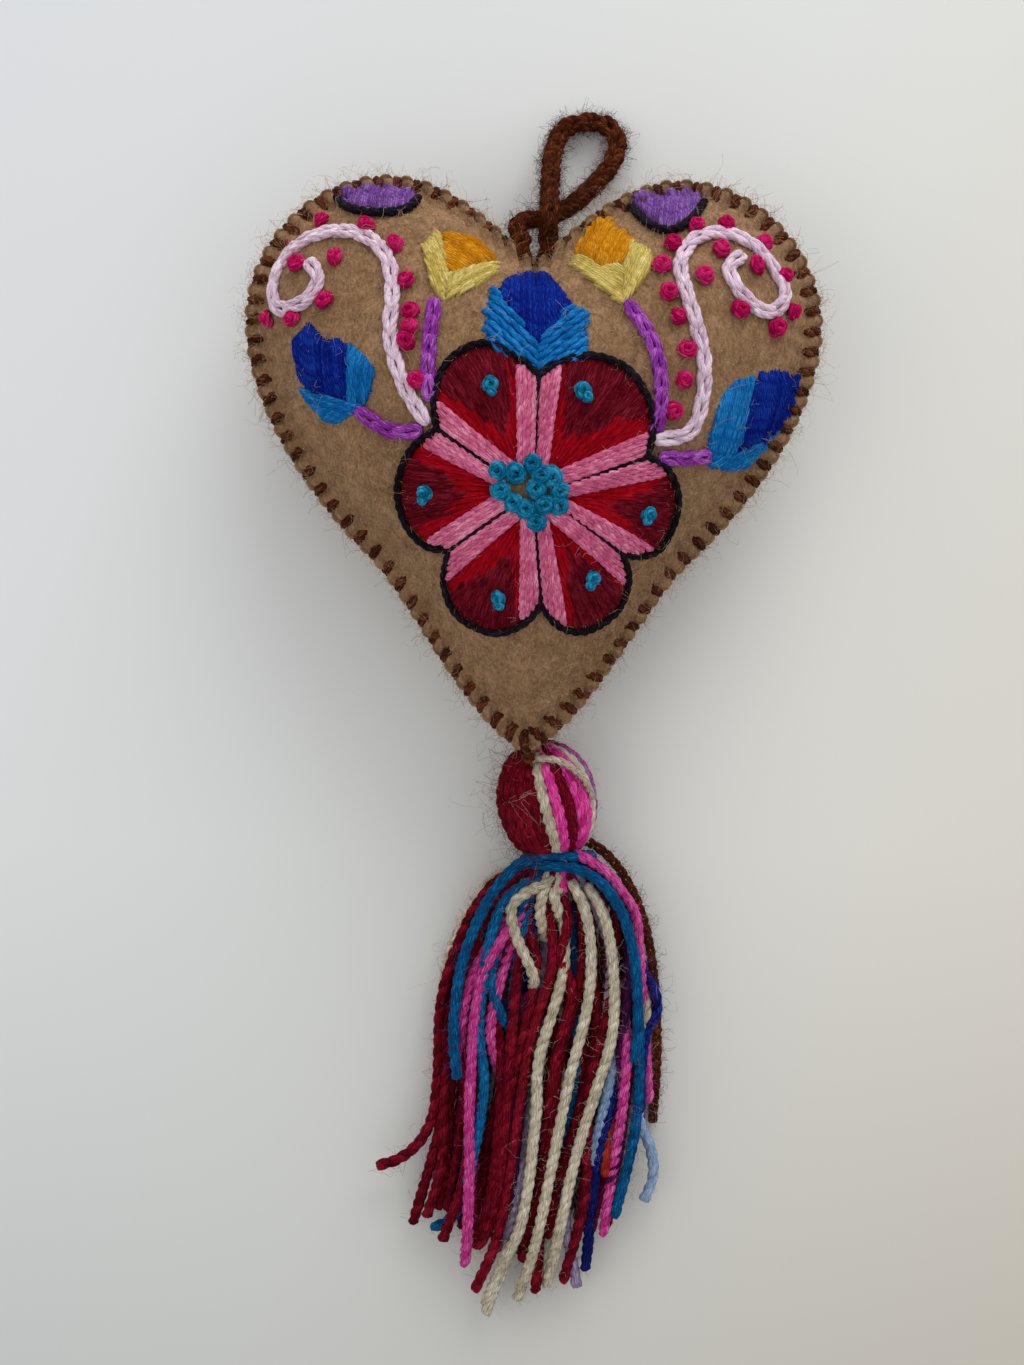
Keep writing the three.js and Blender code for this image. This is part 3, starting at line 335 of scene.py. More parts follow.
loop_line = through(LOOP_RUN, 0.4)
loop_threads = two_sided(loop_line)
hanging_chain = spun("hanging_loop_chain", loop_threads, [rust_wool])
loose = stray(loop_threads, 5000, 1.5, 0.065, np.random.default_rng(1), 0.9)
loop_hairs = dressed(spun("hanging_loop_hairs", loose, [rust_wool]), "loop")
dressed(hanging_chain, "loop", "hanging_loop")
SEWN_ENDS = [[(-1.4, 22.6, 19), (-2.1, 24.6, 19.3), (-2.5, 26.6, 19.3), (-2.2, 28.7, 19)],
             [(1.0, 22.2, 19), (1.8, 24.2, 19.3), (2.3, 26.4, 19.3), (2.3, 28.7, 19)]]
end_threads = [thread for places in SEWN_ENDS for thread in two_sided(through(places, 0.4))]
end_threads += stray(end_threads, 900, 1.5, 0.065, np.random.default_rng(3), 0.9)
dressed(spun("hanging_loop_sewn_ends", end_threads, [rust_wool]), "heart")

# Tail cord
# A thinner crocheted chain of the same rust wool that leaves the tassel's neck on the right and lies beside
# the skirt.
TAIL_CHAIN = 2.0
TAIL_YARN = 0.9
TAIL_RUN = [(10.4, -77.2, 8.4), (12.9, -78.4, 8.2), (15.4, -80.4, 7.6), (18, -83.6, 6.4), (20.8, -88.8, 4.8),
            (23, -95.5, 3), (24.3, -103, 1.6), (25, -110.5, 0.95), (25.2, -117.7, 0.95), (24.9, -124.5, 0.95),
            (24.6, -129.5, 0.95)]
tail_line = through(TAIL_RUN, 0.3)
tail_up = frames(tail_line)[1]
tail_links = []
for up in (tail_up, -tail_up):
    tail_links += chain(tail_line, up, (TAIL_CHAIN - TAIL_YARN) * MM, 2.1 * MM, 0.25 * MM, 0.2)
tail_threads = []
for n, line in enumerate(tail_links):
    tail_threads += plies(evenly(line, 0.25 * MM), TAIL_YARN * MM, 2.0 * MM, start=n)
tail_chain = spun("tail_cord_chain", tail_threads, [rust_wool], 5)
loose = stray(tail_threads, 900, 1.8, 0.07, np.random.default_rng(2))
tail_hairs = dressed(spun("tail_cord_hairs", loose, [rust_wool]), "tail")
dressed(tail_chain, "tail", "tail_cord")


# Felt panels and filling
# Two hearts of 1.6 mm tan wool felt, blown up over a fleece filling. The stitches round the edge pull the
# felt in, so that it bulges between them and the rim is scalloped.
FELT = 1.6
FELT_MIDDLE = np.array([0.0, 2.0])
SEAM_Z = 19.0
EDGE_STITCHES = 88
PER_STITCH = 8
RIGHT_SIDE = [[(0, 23.4), (5, 27.5), (14, 38.2), (25.5, 38.2)],
              [(25.5, 38.2), (38.5, 38.2), (49.7, 26.5), (49.7, 13.5)],
              [(49.7, 13.5), (49.7, -1.5), (38.5, -17), (27.5, -27.6)],
              [(27.5, -27.6), (20, -34.8), (10.5, -56), (0, -61)]]
BETWEEN_STITCHES = 0.35
STITCH_PINCH = 1.15
FLANGE_STEPS = [6.2, 5.2, 4.4, 3.8, 3.3, 2.9, 2.5, 2.0, 1.5, 1.0, 0.6, 0.28, 0.08]


def bezier(corners):
    """A curved stretch of the felt's outline, between its first corner and its last."""
    t = np.linspace(0, 1, 80, endpoint=False)[:, None]
    a, b, c, d = [np.array(corner, float) for corner in corners]
    return (1 - t) ** 3 * a + 3 * (1 - t) ** 2 * t * b + 3 * (1 - t) * t ** 2 * c + t ** 3 * d


right = np.vstack([bezier(corners) for corners in RIGHT_SIDE] + [[(0, -61)]])
whole = np.vstack([right, (right * (-1, 1))[-2::-1]])
edge_run = along(whole)
edge_length = edge_run[-1]
sectors = EDGE_STITCHES * PER_STITCH
spots = np.arange(sectors) * edge_length / sectors
rim = np.column_stack([np.interp(spots, edge_run, whole[:, n]) for n in (0, 1)])
rim_ahead = np.roll(rim, -1, axis=0) - np.roll(rim, 1, axis=0)
rim_ahead /= np.linalg.norm(rim_ahead, axis=1)[:, None]
rim_out = np.column_stack([-rim_ahead[:, 1], rim_ahead[:, 0]])
ray = rim - FELT_MIDDLE
ray_length = np.linalg.norm(ray, axis=1)
ray /= ray_length[:, None]
facing = np.maximum(np.abs((ray * rim_out).sum(axis=1)), 0.5)
stitch_pull = (0.5 + 0.5 * np.cos(2 * np.pi * np.arange(sectors) / PER_STITCH)) ** 2


def smooth_copy(node):
    """A rounded copy of a CAD solid, only to measure heights on."""
    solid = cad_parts[node]
    copy = solid.copy()
    copy.data = solid.data.copy()
    bpy.context.collection.objects.link(copy)
    bpy.ops.object.select_all(action="DESELECT")
    copy.select_set(True)
    bpy.context.view_layer.objects.active = copy
    bpy.ops.object.mode_set(mode="EDIT")
    bpy.ops.mesh.select_all(action="SELECT")
    bpy.ops.mesh.remove_doubles(threshold=0.01 * MM)
    bpy.ops.object.mode_set(mode="OBJECT")
    rounding = copy.modifiers.new("rounding", "SUBSURF")
    rounding.levels = rounding.render_levels = 2
    bpy.ops.object.modifier_apply(modifier=rounding.name)
    return copy


def tree_of(piece):
    """A piece's faces, ready to be met by rays."""
    corners = [vertex.co for vertex in piece.data.vertices]
    return BVHTree.FromPolygons(corners, [face.vertices for face in piece.data.polygons])


def height_on(tree, x, y, side, beyond):
    """The height in mm at which a solid is met from above or below, or the one beyond it."""
    hit = tree.ray_cast(Vector((x * MM, y * MM, side * 100 * MM)), Vector((0, 0, -side)))
    return hit[0].z / MM if hit[0] else beyond


felt_tan = bpy.data.materials.new("fulled wool felt")
felt_tan.use_nodes = True
# Matted fibres: pale and dark hairs lie every way in soft blotches a few millimetres wide, over a short nap
place = add_node(felt_tan, "ShaderNodeTexCoord")
blotches = add_node(felt_tan, "ShaderNodeTexNoise", {"Scale": 260.0, "Detail": 4.0, "Roughness": 0.65},
                    {"Vector": place.outputs["Object"]})
wander = add_node(felt_tan, "ShaderNodeTexNoise", {"Scale": 420.0, "Detail": 1.0},
                  {"Vector": place.outputs["Object"]})
drawn = add_node(felt_tan, "ShaderNodeMapping", {"Scale": (1900.0, 1200.0, 1500.0), "Rotation": (0, 0, 0.7)},
                 {"Vector": place.outputs["Object"]})
tangled = add_node(felt_tan, "ShaderNodeVectorMath", {"Scale": 3.0}, {0: wander.outputs["Color"]},
                   operation="SCALE")
hairs_at = add_node(felt_tan, "ShaderNodeVectorMath",
                    links={0: drawn.outputs["Vector"], 1: tangled.outputs["Vector"]}, operation="ADD")
hairs = add_node(felt_tan, "ShaderNodeTexNoise", {"Scale": 1.0, "Detail": 3.0, "Roughness": 0.65},
                 {"Vector": hairs_at.outputs["Vector"]})
mixed = add_node(felt_tan, "ShaderNodeMath", {1: 0.75, 2: -0.05}, {0: hairs.outputs["Fac"]},
                 operation="MULTIPLY_ADD")
tone = add_node(felt_tan, "ShaderNodeMath", {1: 0.45},
                {0: blotches.outputs["Fac"], 2: mixed.outputs["Value"]}, operation="MULTIPLY_ADD")
felt_ramp = shades(felt_tan, tone.outputs["Value"], "#4d3a27", "#866649", "#b39170")
nap = add_node(felt_tan, "ShaderNodeBump", {"Strength": 0.6, "Distance": 0.22 * MM},
               {"Height": hairs.outputs["Fac"]})
felt_shader = felt_tan.node_tree.nodes["Principled BSDF"]
felt_shader.inputs["Roughness"].default_value = 0.95
felt_shader.inputs["Specular IOR Level"].default_value = 0.05
felt_shader.inputs["Sheen Weight"].default_value = 0.15
felt_shader.inputs["Sheen Roughness"].default_value = 0.5
felt_shader.inputs["Sheen Tint"].default_value = linear("#c9ad8c")
felt_tan.node_tree.links.new(felt_ramp.outputs["Color"], felt_shader.inputs["Base Color"])
felt_tan.node_tree.links.new(nap.outputs["Normal"], felt_shader.inputs["Normal"])


def felt_panel(name, node, side):
    """One panel as a closed sheet: rings from its middle to the rim on the outer face, then back inside."""
    copy = smooth_copy(node)
    tree = tree_of(copy)
    bpy.data.objects.remove(copy)
    rim_z = SEAM_Z + side * (0.15 + FELT)
    outer = []
    dome = ray_length - FLANGE_STEPS[0] / facing
    insets = [ray_length - dome * math.sin(0.5 * math.pi * i / 26) for i in range(1, 27)]
    insets += [step / facing for step in FLANGE_STEPS[1:]]
    rng = np.random.default_rng(3)
    lumps = [(rng.uniform(0.06, 0.16, 2) * rng.choice([-1, 1], 2), rng.uniform(0, 6), rng.uniform(0.04, 0.1))
             for _ in range(9)]
    for inset in insets:
        plan = FELT_MIDDLE + ray * (ray_length - inset)[:, None]
        z = np.array([height_on(tree, x, y, side, rim_z) for x, y in plan])
        near_rim = np.clip(1 - inset * facing / 6.5, 0, 1) ** 1.3
        swell = sum(size * np.sin(plan @ wave + shift) for wave, shift, size in lumps)
        puff = BETWEEN_STITCHES - STITCH_PINCH * stitch_pull
        z = z + side * (swell * (1 - near_rim) + puff * near_rim)
        plan = plan + rim_out * (puff * near_rim)[:, None]
        outer.append(np.column_stack([plan, z]))
    for deep, bulge in ((1.45, 0.1), (1.0, 0.3), (0.5, 0.3), (0.1, 0.1)):
        plan = rim + rim_out * (bulge + puff)[:, None]
        outer.append(np.column_stack([plan, SEAM_Z + side * (0.15 + deep * (1 - 0.5 * stitch_pull))]))
    crown = height_on(tree, *FELT_MIDDLE, side, rim_z)
    inner = []
    for ring in outer[:26:2][::-1]:
        lowered = side * np.maximum(side * (ring[:, 2] - SEAM_Z) - 1.9, 0.12)
        inner.append(np.column_stack([ring[:, :2] - ray * 0.8, SEAM_Z + lowered]))
    rings = outer + inner
    points = np.vstack([[(*FELT_MIDDLE, crown)]] + rings + [[(*FELT_MIDDLE, crown - side * 1.7)]])
    points[:, 2] = np.maximum(points[:, 2], 0.02)
    faces = []
    k = np.arange(sectors)
    after = (k + 1) % sectors
    faces += np.column_stack([np.zeros(sectors, int), 1 + after, 1 + k]).tolist()
    for i in range(len(rings) - 1):
        a, b = 1 + i * sectors, 1 + (i + 1) * sectors
        faces += np.column_stack([a + k, a + after, b + after, b + k]).tolist()
    last = 1 + (len(rings) - 1) * sectors
    faces += np.column_stack([np.full(sectors, len(points) - 1), last + k, last + after]).tolist()
    mesh = bpy.data.meshes.new(name)
    mesh.from_pydata((points * MM).tolist(), [], faces)
    piece = bpy.data.objects.new(name, mesh)
    bpy.context.collection.objects.link(piece)
    bpy.ops.object.select_all(action="DESELECT")
    piece.select_set(True)
    bpy.context.view_layer.objects.active = piece
    bpy.ops.object.mode_set(mode="EDIT")
    bpy.ops.mesh.select_all(action="SELECT")
    bpy.ops.mesh.normals_make_consistent(inside=False)
    bpy.ops.object.mode_set(mode="OBJECT")
    mesh.shade_smooth()
    mesh.materials.append(felt_tan)
    dressed(piece, "heart", node)
    return piece


front_felt = felt_panel("front_felt", "front_panel", 1)
back_felt = felt_panel("back_felt", "back_panel", -1)
felt_tree = tree_of(front_felt)

fleece = bpy.data.materials.new("carded fleece")
fleece.use_nodes = True
# Loose white fibres, which only show where the felt is cut open
place = add_node(fleece, "ShaderNodeTexCoord")
tufts = add_node(fleece, "ShaderNodeTexNoise", {"Scale": 600.0, "Detail": 4.0},
                 {"Vector": place.outputs["Object"]})
fleece_ramp = shades(fleece, tufts.outputs["Fac"], "#b9b2a4", "#ddd6c8", "#f2eee4")
fluff = add_node(fleece, "ShaderNodeBump", {"Strength": 0.8, "Distance": 0.5 * MM},
                 {"Height": tufts.outputs["Fac"]})
fleece_shader = fleece.node_tree.nodes["Principled BSDF"]
fleece_shader.inputs["Roughness"].default_value = 1.0
fleece.node_tree.links.new(fleece_ramp.outputs["Color"], fleece_shader.inputs["Base Color"])
fleece.node_tree.links.new(fluff.outputs["Normal"], fleece_shader.inputs["Normal"])
filling = smooth_copy("stuffing")
filling.name = filling.data.name = "fleece_filling"
filling.data.materials.clear()
filling.data.materials.append(fleece)
tuft = np.random.default_rng(4).uniform(0.97, 1.0, len(filling.data.vertices))
filling_middle = Vector((*FELT_MIDDLE, SEAM_Z)) * MM
for vertex, share in zip(filling.data.vertices, tuft):
    vertex.co = filling_middle + (vertex.co - filling_middle) * share
filling.data.shade_smooth()
dressed(filling, "heart", "stuffing")


# Edge stitches
# Brown two-ply wool whipped over the rim by hand, one stitch every 3.5 mm. Each bar goes in through the
# front felt, comes over the edge and goes in through the back, and sinks into the felt.
EDGE_YARN = 1.9
UPPER_BAR = [(-3.6, 0.3), (-3.1, 1.3), (-2.3, 1.75), (-1.5, 1.7), (-0.9, 1.45), (-0.5, 0.95), (-0.35, 0.4)]
BAR = UPPER_BAR + [(-0.3, 0.0)] + [(out, -z) for out, z in UPPER_BAR[::-1]]
edge_wool = dyed_wool("brown stitching wool", "#1c0903", "#46200f", "#7c4a2e")
rng = np.random.default_rng(5)
edge_threads = []
for n in range(0, sectors, PER_STITCH):
    slant = rng.normal(0.45, 0.2)
    longer = rng.normal(1.0, 0.08)
    bar = []
    for out, z in BAR:
        out = out * longer if out < -0.5 else out
        spot = rim[n] + rim_out[n] * out + rim_ahead[n] * slant * z / 2
        bar.append((*spot, SEAM_Z + z))
    edge_threads += plies(through(bar, 0.45), EDGE_YARN * MM, 3.2 * MM, start=rng.uniform(0, 6))
edge_threads += stray(edge_threads, 900, 1.4, 0.08, rng)
dressed(spun("edge_whip_stitches", edge_threads, [edge_wool]), "heart")


# Petals
# Satin stitch in fine crimson wool, fanned from the eye to the contour, with maroon worked over the middle of
# each petal and four pink two-ply yarns along each side, which meet the other side's at the petal's root.
def on_felt(places, lift):
    """Places given in mm by their plan, as points that lie lift mm over the front felt."""
    points = []
    for (x, y), up in zip(places, np.broadcast_to(lift, (len(places),))):
        spot, normal, _, _ = felt_tree.ray_cast(Vector((x * MM, y * MM, 100 * MM)), Vector((0, 0, -1)))
        if spot is None:
            spot, normal, _, _ = felt_tree.find_nearest(Vector((x * MM, y * MM, 22 * MM)))
        points.append(spot + normal * up * MM)
    return np.array(points)


def stitched(start, end, lift, count=9, dip=0.45):
    """A straight thread that comes up out of the felt at its start, lies on it, and goes in at its end."""
    share = np.linspace(0, 1, count)
    places = np.array(start) + (np.array(end) - np.array(start)) * share[:, None]
    return on_felt(places, lift - dip * np.abs(2 * share - 1) ** 7)


def even_flat(places, count):
    """A flat line through places in mm, cut into equal parts."""
    line = through([(x, y, 0) for x, y in places], 0.2)[:, :2] / MM
    run = along(line)
    spots = np.linspace(0, run[-1], count)
    return np.column_stack([np.interp(spots, run, line[:, n]) for n in (0, 1)])


def fuzz(threads, count, reach, rng):
    """Short hairs that stand up out of laid threads."""
    return stray(threads, count, reach, 0.055, rng)


SATIN_THREAD = 0.62
PINK_YARN = 1.3
PINK_INSETS = (0.75, 1.55, 2.35, 3.15)
OUTER_STEPS = 239
EYE = np.array([-0.3, -17.8])
PETALS = {
    "upper_left": {"left": [(-6.9, -13.8), (-15.7, -7.7)], "right": [(1, -12.2), (0.8, 1)],
                   "maroon": (5.6, 4.8),
                   "outer": [(-15.7, -7.7), (-16.1, -2.3), (-13.8, 3.4), (-8.1, 6.1), (-2.3, 3.4), (0.8, 1)]},
    "upper_right": {"left": [(1, -12.2), (0.8, 1)], "right": [(5.5, -17), (18.8, -11.6)],
                    "maroon": (4.2, 7.0),
                    "outer": [(0.8, 1), (4.2, 3.2), (9, 4.4), (14.9, 2.6), (18.6, -2), (19.6, -7.3),
                              (18.8, -11.6)]},
    "right": {"left": [(5.5, -17), (18.8, -11.6)], "right": [(5.7, -20.8), (15, -27.2)], "maroon": (4.9, 4.5),
              "outer": [(18.8, -11.6), (22, -13), (24.4, -18.1), (22, -25.5), (18.5, -27.4), (15, -27.2)]},
    "lower_right": {"left": [(5.7, -20.8), (15, -27.2)], "right": [(0.8, -24.3), (1.9, -36.2)],
                    "maroon": (4.7, 4.9),
                    "outer": [(15, -27.2), (16.4, -31), (14.6, -36.6), (8.6, -40.3), (4.6, -39.3),
                              (1.9, -36.2)]},
    "lower_left": {"left": [(0.8, -24.3), (1.9, -36.2)], "right": [(-4.2, -21.3), (-13.4, -27.3)],
                   "maroon": (4.2, 6.0),
                   "outer": [(1.9, -36.2), (-1, -39.2), (-5.5, -40.8), (-11.7, -37.9), (-14.2, -32.5),
                             (-13.4, -27.3)]},
    "left": {"left": [(-4.2, -21.3), (-13.4, -27.3)], "right": [(-6.9, -13.8), (-15.7, -7.7)],
             "maroon": (5.9, 5.4),
             "outer": [(-13.4, -27.3), (-17.2, -26.4), (-20.9, -22.5), (-22.1, -16.7), (-20, -11.2),
                       (-15.7, -7.7)]},
}
crimson_thread = dyed_wool("crimson embroidery wool", "#600008", "#980112", "#bb162a", lay=0.1, sheen=0.04)
maroon_thread = dyed_wool("maroon embroidery wool", "#2e0008", "#5c0414", "#8a2435", lay=0.1, sheen=0.04)
pink_thread = dyed_wool("pink embroidery wool", "#9a3c60", "#cf6088", "#f1abc3", lay=0.3)


def crossing(a, way, line):
    """How far along a ray from a the flat line is met, or nothing."""
    met = []
    for p, q in zip(line, line[1:]):
        edge = q - p
        cross = way[0] * edge[1] - way[1] * edge[0]
        if abs(cross) > 1e-9:
            far = ((p[0] - a[0]) * edge[1] - (p[1] - a[1]) * edge[0]) / cross
            share = ((p[0] - a[0]) * way[1] - (p[1] - a[1]) * way[0]) / cross
            if 0 <= share <= 1 and far > 0:
                met.append(far)
    return min(met) if met else None


def unit(v):
    """The same direction at length one."""
    return v / np.linalg.norm(v)


def off_side(places, side):
    """How far places lie from a petal's straight side."""
    way = unit(side[1] - side[0])
    return np.abs(way[0] * (places[:, 1] - side[0][1]) - way[1] * (places[:, 0] - side[0][0]))


for name, petal in PETALS.items():
    rng = np.random.default_rng(len(name))
    outer = even_flat(petal["outer"], OUTER_STEPS + 1)
    left, right_side = np.array(petal["left"], float), np.array(petal["right"], float)
    arc = along(outer)[-1]
    centre = (left[0] + right_side[0]) / 2
    threads = []
    rows = round(arc / 0.45)
    for n in range(rows):
        share = (n + 0.5) / rows
        inner = left[0] + (right_side[0] - left[0]) * share
        inner = inner + 1.6 * unit(EYE - inner)
        end = outer[round(share * OUTER_STEPS)]
        start = inner + (end - inner) * (0.0, 0.25, 0.5, 0.12)[n % 4] * rng.uniform(0.8, 1.1)
        end = end + unit(centre - end) * 0.5
        threads.append((stitched(start, end, 0.28 + rng.uniform(0, 0.14), 10), SATIN_THREAD / 2 * MM, 0))
    near_left, near_right = petal["maroon"]
    rows = round(arc / 0.42)
    for n in range(rows):
        share = (n + 0.5) / rows
        inner = left[0] + (right_side[0] - left[0]) * share
        end = outer[round(share * OUTER_STEPS)]
        ray_places = inner + (end - inner) * np.linspace(0, 1, 60)[:, None]
        within = np.minimum(off_side(ray_places, left) - near_left,
                            off_side(ray_places, right_side) - near_right)
        inside = np.flatnonzero(within > rng.normal(0, 0.5))
        if len(inside) > 8:
            start = ray_places[inside[0]]
            end = end + unit(centre - end) * rng.uniform(0.35, 0.6)
            threads.append((stitched(start, end, 0.5 + rng.uniform(0, 0.16), 9), SATIN_THREAD / 2 * MM, 1))
    for side, other in ((left, right_side), (right_side, left)):
        way = unit(side[1] - side[0])
        inward = np.array([-way[1], way[0]])
        if inward @ (other[1] - side[1]) < 0:
            inward = -inward
        for inset in PINK_INSETS:
            share = 0.1 + 0.85 * inset / PINK_INSETS[-1]
            root = side[0] + (centre - side[0]) * share
            root = root + unit(EYE - root) * rng.uniform(1.4, 1.9)
            heading = unit(side[1] + inward * inset - root)
            far = crossing(root, heading, outer) or np.linalg.norm(side[1] - side[0])
            top = root + heading * (far - rng.uniform(0.6, 1.3))
            line = stitched(root, top, 0.7 + rng.uniform(0, 0.12), 16)
            threads += plies(evenly(line, 0.4 * MM), PINK_YARN * MM, 3.2 * MM, 2, start=rng.uniform(0, 6),
                             apart=0.13)
    threads += fuzz(threads, 420, 1.6, rng)
    piece = spun(f"satin_petal_{name}", threads, [crimson_thread, maroon_thread, pink_thread], 5)
    dressed(piece, "heart", f"petal_{name}")

# Contour, eye and knots of the flower
# Black two-ply wool in stem stitch round every petal and between them, a cluster of teal French knots as the
# eye, and one loose teal knot on each petal.
CONTOUR_YARN = 1.35
DIVIDER_YARN = 1.15
EYE_KNOTS = [(-5.6, -14.4), (-2.6, -14.9), (0, -13.3), (3.3, -15.3), (-5, -17.6), (0.6, -17.3), (-3, -19.6),
             (-0.9, -20.6), (2, -19.8), (4.4, -20), (0.9, -22.6), (4.6, -17.5), (1.6, -15)]
PETAL_KNOTS = {"upper_left": (-7, -0.7), "upper_right": (8, -1.5), "right": (19.1, -20.4),
               "lower_right": (10.2, -31.2), "lower_left": (-5, -34.8), "left": (-17.3, -17.8)}
black_wool = dyed_wool("black wool", "#050407", "#110e14", "#332f39", sheen=0.05)
teal_wool = dyed_wool("teal wool", "#02384f", "#086f96", "#37a5c8")
contour_threads = []
for petal in PETALS.values():
    contour = on_felt(even_flat(petal["outer"], 60), 0.62)
    contour_threads += plies(evenly(contour, 0.45 * MM), CONTOUR_YARN * MM, 3.4 * MM)
    divider = on_felt(even_flat([petal["left"][1], petal["left"][0]], 26), 0.62)
    contour_threads += plies(evenly(divider, 0.4 * MM), DIVIDER_YARN * MM, 3.0 * MM)
contour_threads += fuzz(contour_threads, 500, 1.4, np.random.default_rng(6))
dressed(spun("flower_contour_yarn", contour_threads, [black_wool]), "heart", "flower_contour")


def french_knot(x, y, across, yarn, rng, lift=0.5):
    """A two-ply yarn wound up as a close cone of two and a half turns, and drawn down through its middle."""
    centre, normal, _, _ = felt_tree.ray_cast(Vector((x * MM, y * MM, 100 * MM)), Vector((0, 0, -1)))
    normal = np.array(normal)
    side = unit(np.cross(normal, (1.0, 0.0, 0.0)))
    other = np.cross(normal, side)
    share = np.linspace(0, 1, 46)
    turn = 5 * np.pi * share + rng.uniform(0, 6)
    drawn_in = np.clip(share - 0.88, 0, 1) / 0.12
    radius = (across - yarn) / 2 * (1.05 - 0.6 * share) * (1 - 0.8 * drawn_in)
    height = lift + yarn * (0.1 + 1.05 * share - 1.1 * drawn_in)
    tilt = rng.normal(0, 0.2, 2)
    height = height + radius * (tilt[0] * np.cos(turn) + tilt[1] * np.sin(turn))
    around = np.cos(turn)[:, None] * side + np.sin(turn)[:, None] * other
    line = np.array(centre) + MM * (radius[:, None] * around + height[:, None] * normal)
    return plies(line, yarn * MM, 2.6 * MM, start=rng.uniform(0, 6))


rng = np.random.default_rng(7)
eye_threads = []
for x, y in EYE_KNOTS:
    eye_threads += french_knot(x, y, rng.uniform(3.8, 4.3), 1.2, rng, 0.5)
eye_threads += fuzz(eye_threads, 250, 1.0, rng)
dressed(spun("flower_eye_knots", eye_threads, [teal_wool]), "heart", "flower_eye")
for name, (x, y) in PETAL_KNOTS.items():
    threads = french_knot(x, y, rng.uniform(2.9, 3.3), 1.05, rng, 0.75)
    beside = x + rng.normal(0, 0.4), y - rng.uniform(0.2, 1.2)
    threads += french_knot(*beside, rng.uniform(1.8, 2.3), 0.85, rng, 1.1)
    threads += fuzz(threads, 30, 1.0, rng)
    dressed(spun(f"petal_knot_{name}", threads, [teal_wool]), "heart", f"petal_dot_{name}")


# Leaves, buds and berries
# Satin stitch in soft two-ply wool: royal blue leaves wrapped in sky blue, orange buds in a lemon calyx, and
# purple berries at the tops of the lobes, each with a black twisted line under it.
def hatch(outline, angle, spacing):
    """Straight lines at an angle that fill an outline, as pairs of ends."""
    turn = math.radians(angle)
    way, across = np.array([math.cos(turn), math.sin(turn)]), np.array([-math.sin(turn), math.cos(turn)])
    corners = np.array(outline, float)
    a, c = corners @ way, corners @ across
    lines = []
    for level in np.arange(c.min() + spacing / 2, c.max(), spacing):
        cuts = sorted(a[i - 1] + (a[i] - a[i - 1]) * (level - c[i - 1]) / (c[i] - c[i - 1])
                      for i in range(len(c)) if (c[i - 1] > level) != (c[i] > level))
        lines += [(way * s + across * level, way * e + across * level) for s, e in zip(cuts[::2], cuts[1::2])]
    return lines


def satin(outline, angle, rng, thread, lift, twisted=False):
    """Soft threads side by side that fill an outline. Three by three they come from one stitch and end
    together, as uneven as a hand leaves them. Where the wool stays twisted, each is a two-ply yarn."""
    threads = []
    early = late = 0
    for n, (start, end) in enumerate(hatch(outline, angle, (0.8 if twisted else 0.55) * thread)):
        if twisted or n % 3 == 0:
            early, late = rng.uniform(-0.55, 0.5, 2)
        length = np.linalg.norm(end - start)
        if length > 1.2:
            way = unit(end - start)
            line = stitched(start + way * early, end - way * late, lift + rng.uniform(0, 0.15),
                            max(round(length / 1.2), 7), 0.7)
            if twisted:
                threads += plies(evenly(line, 0.5 * MM), thread * MM, 5 * MM, start=rng.uniform(0, 6),
                                 apart=0.13)
            else:
                threads.append((line, thread / 2 * MM, 0))
    return threads


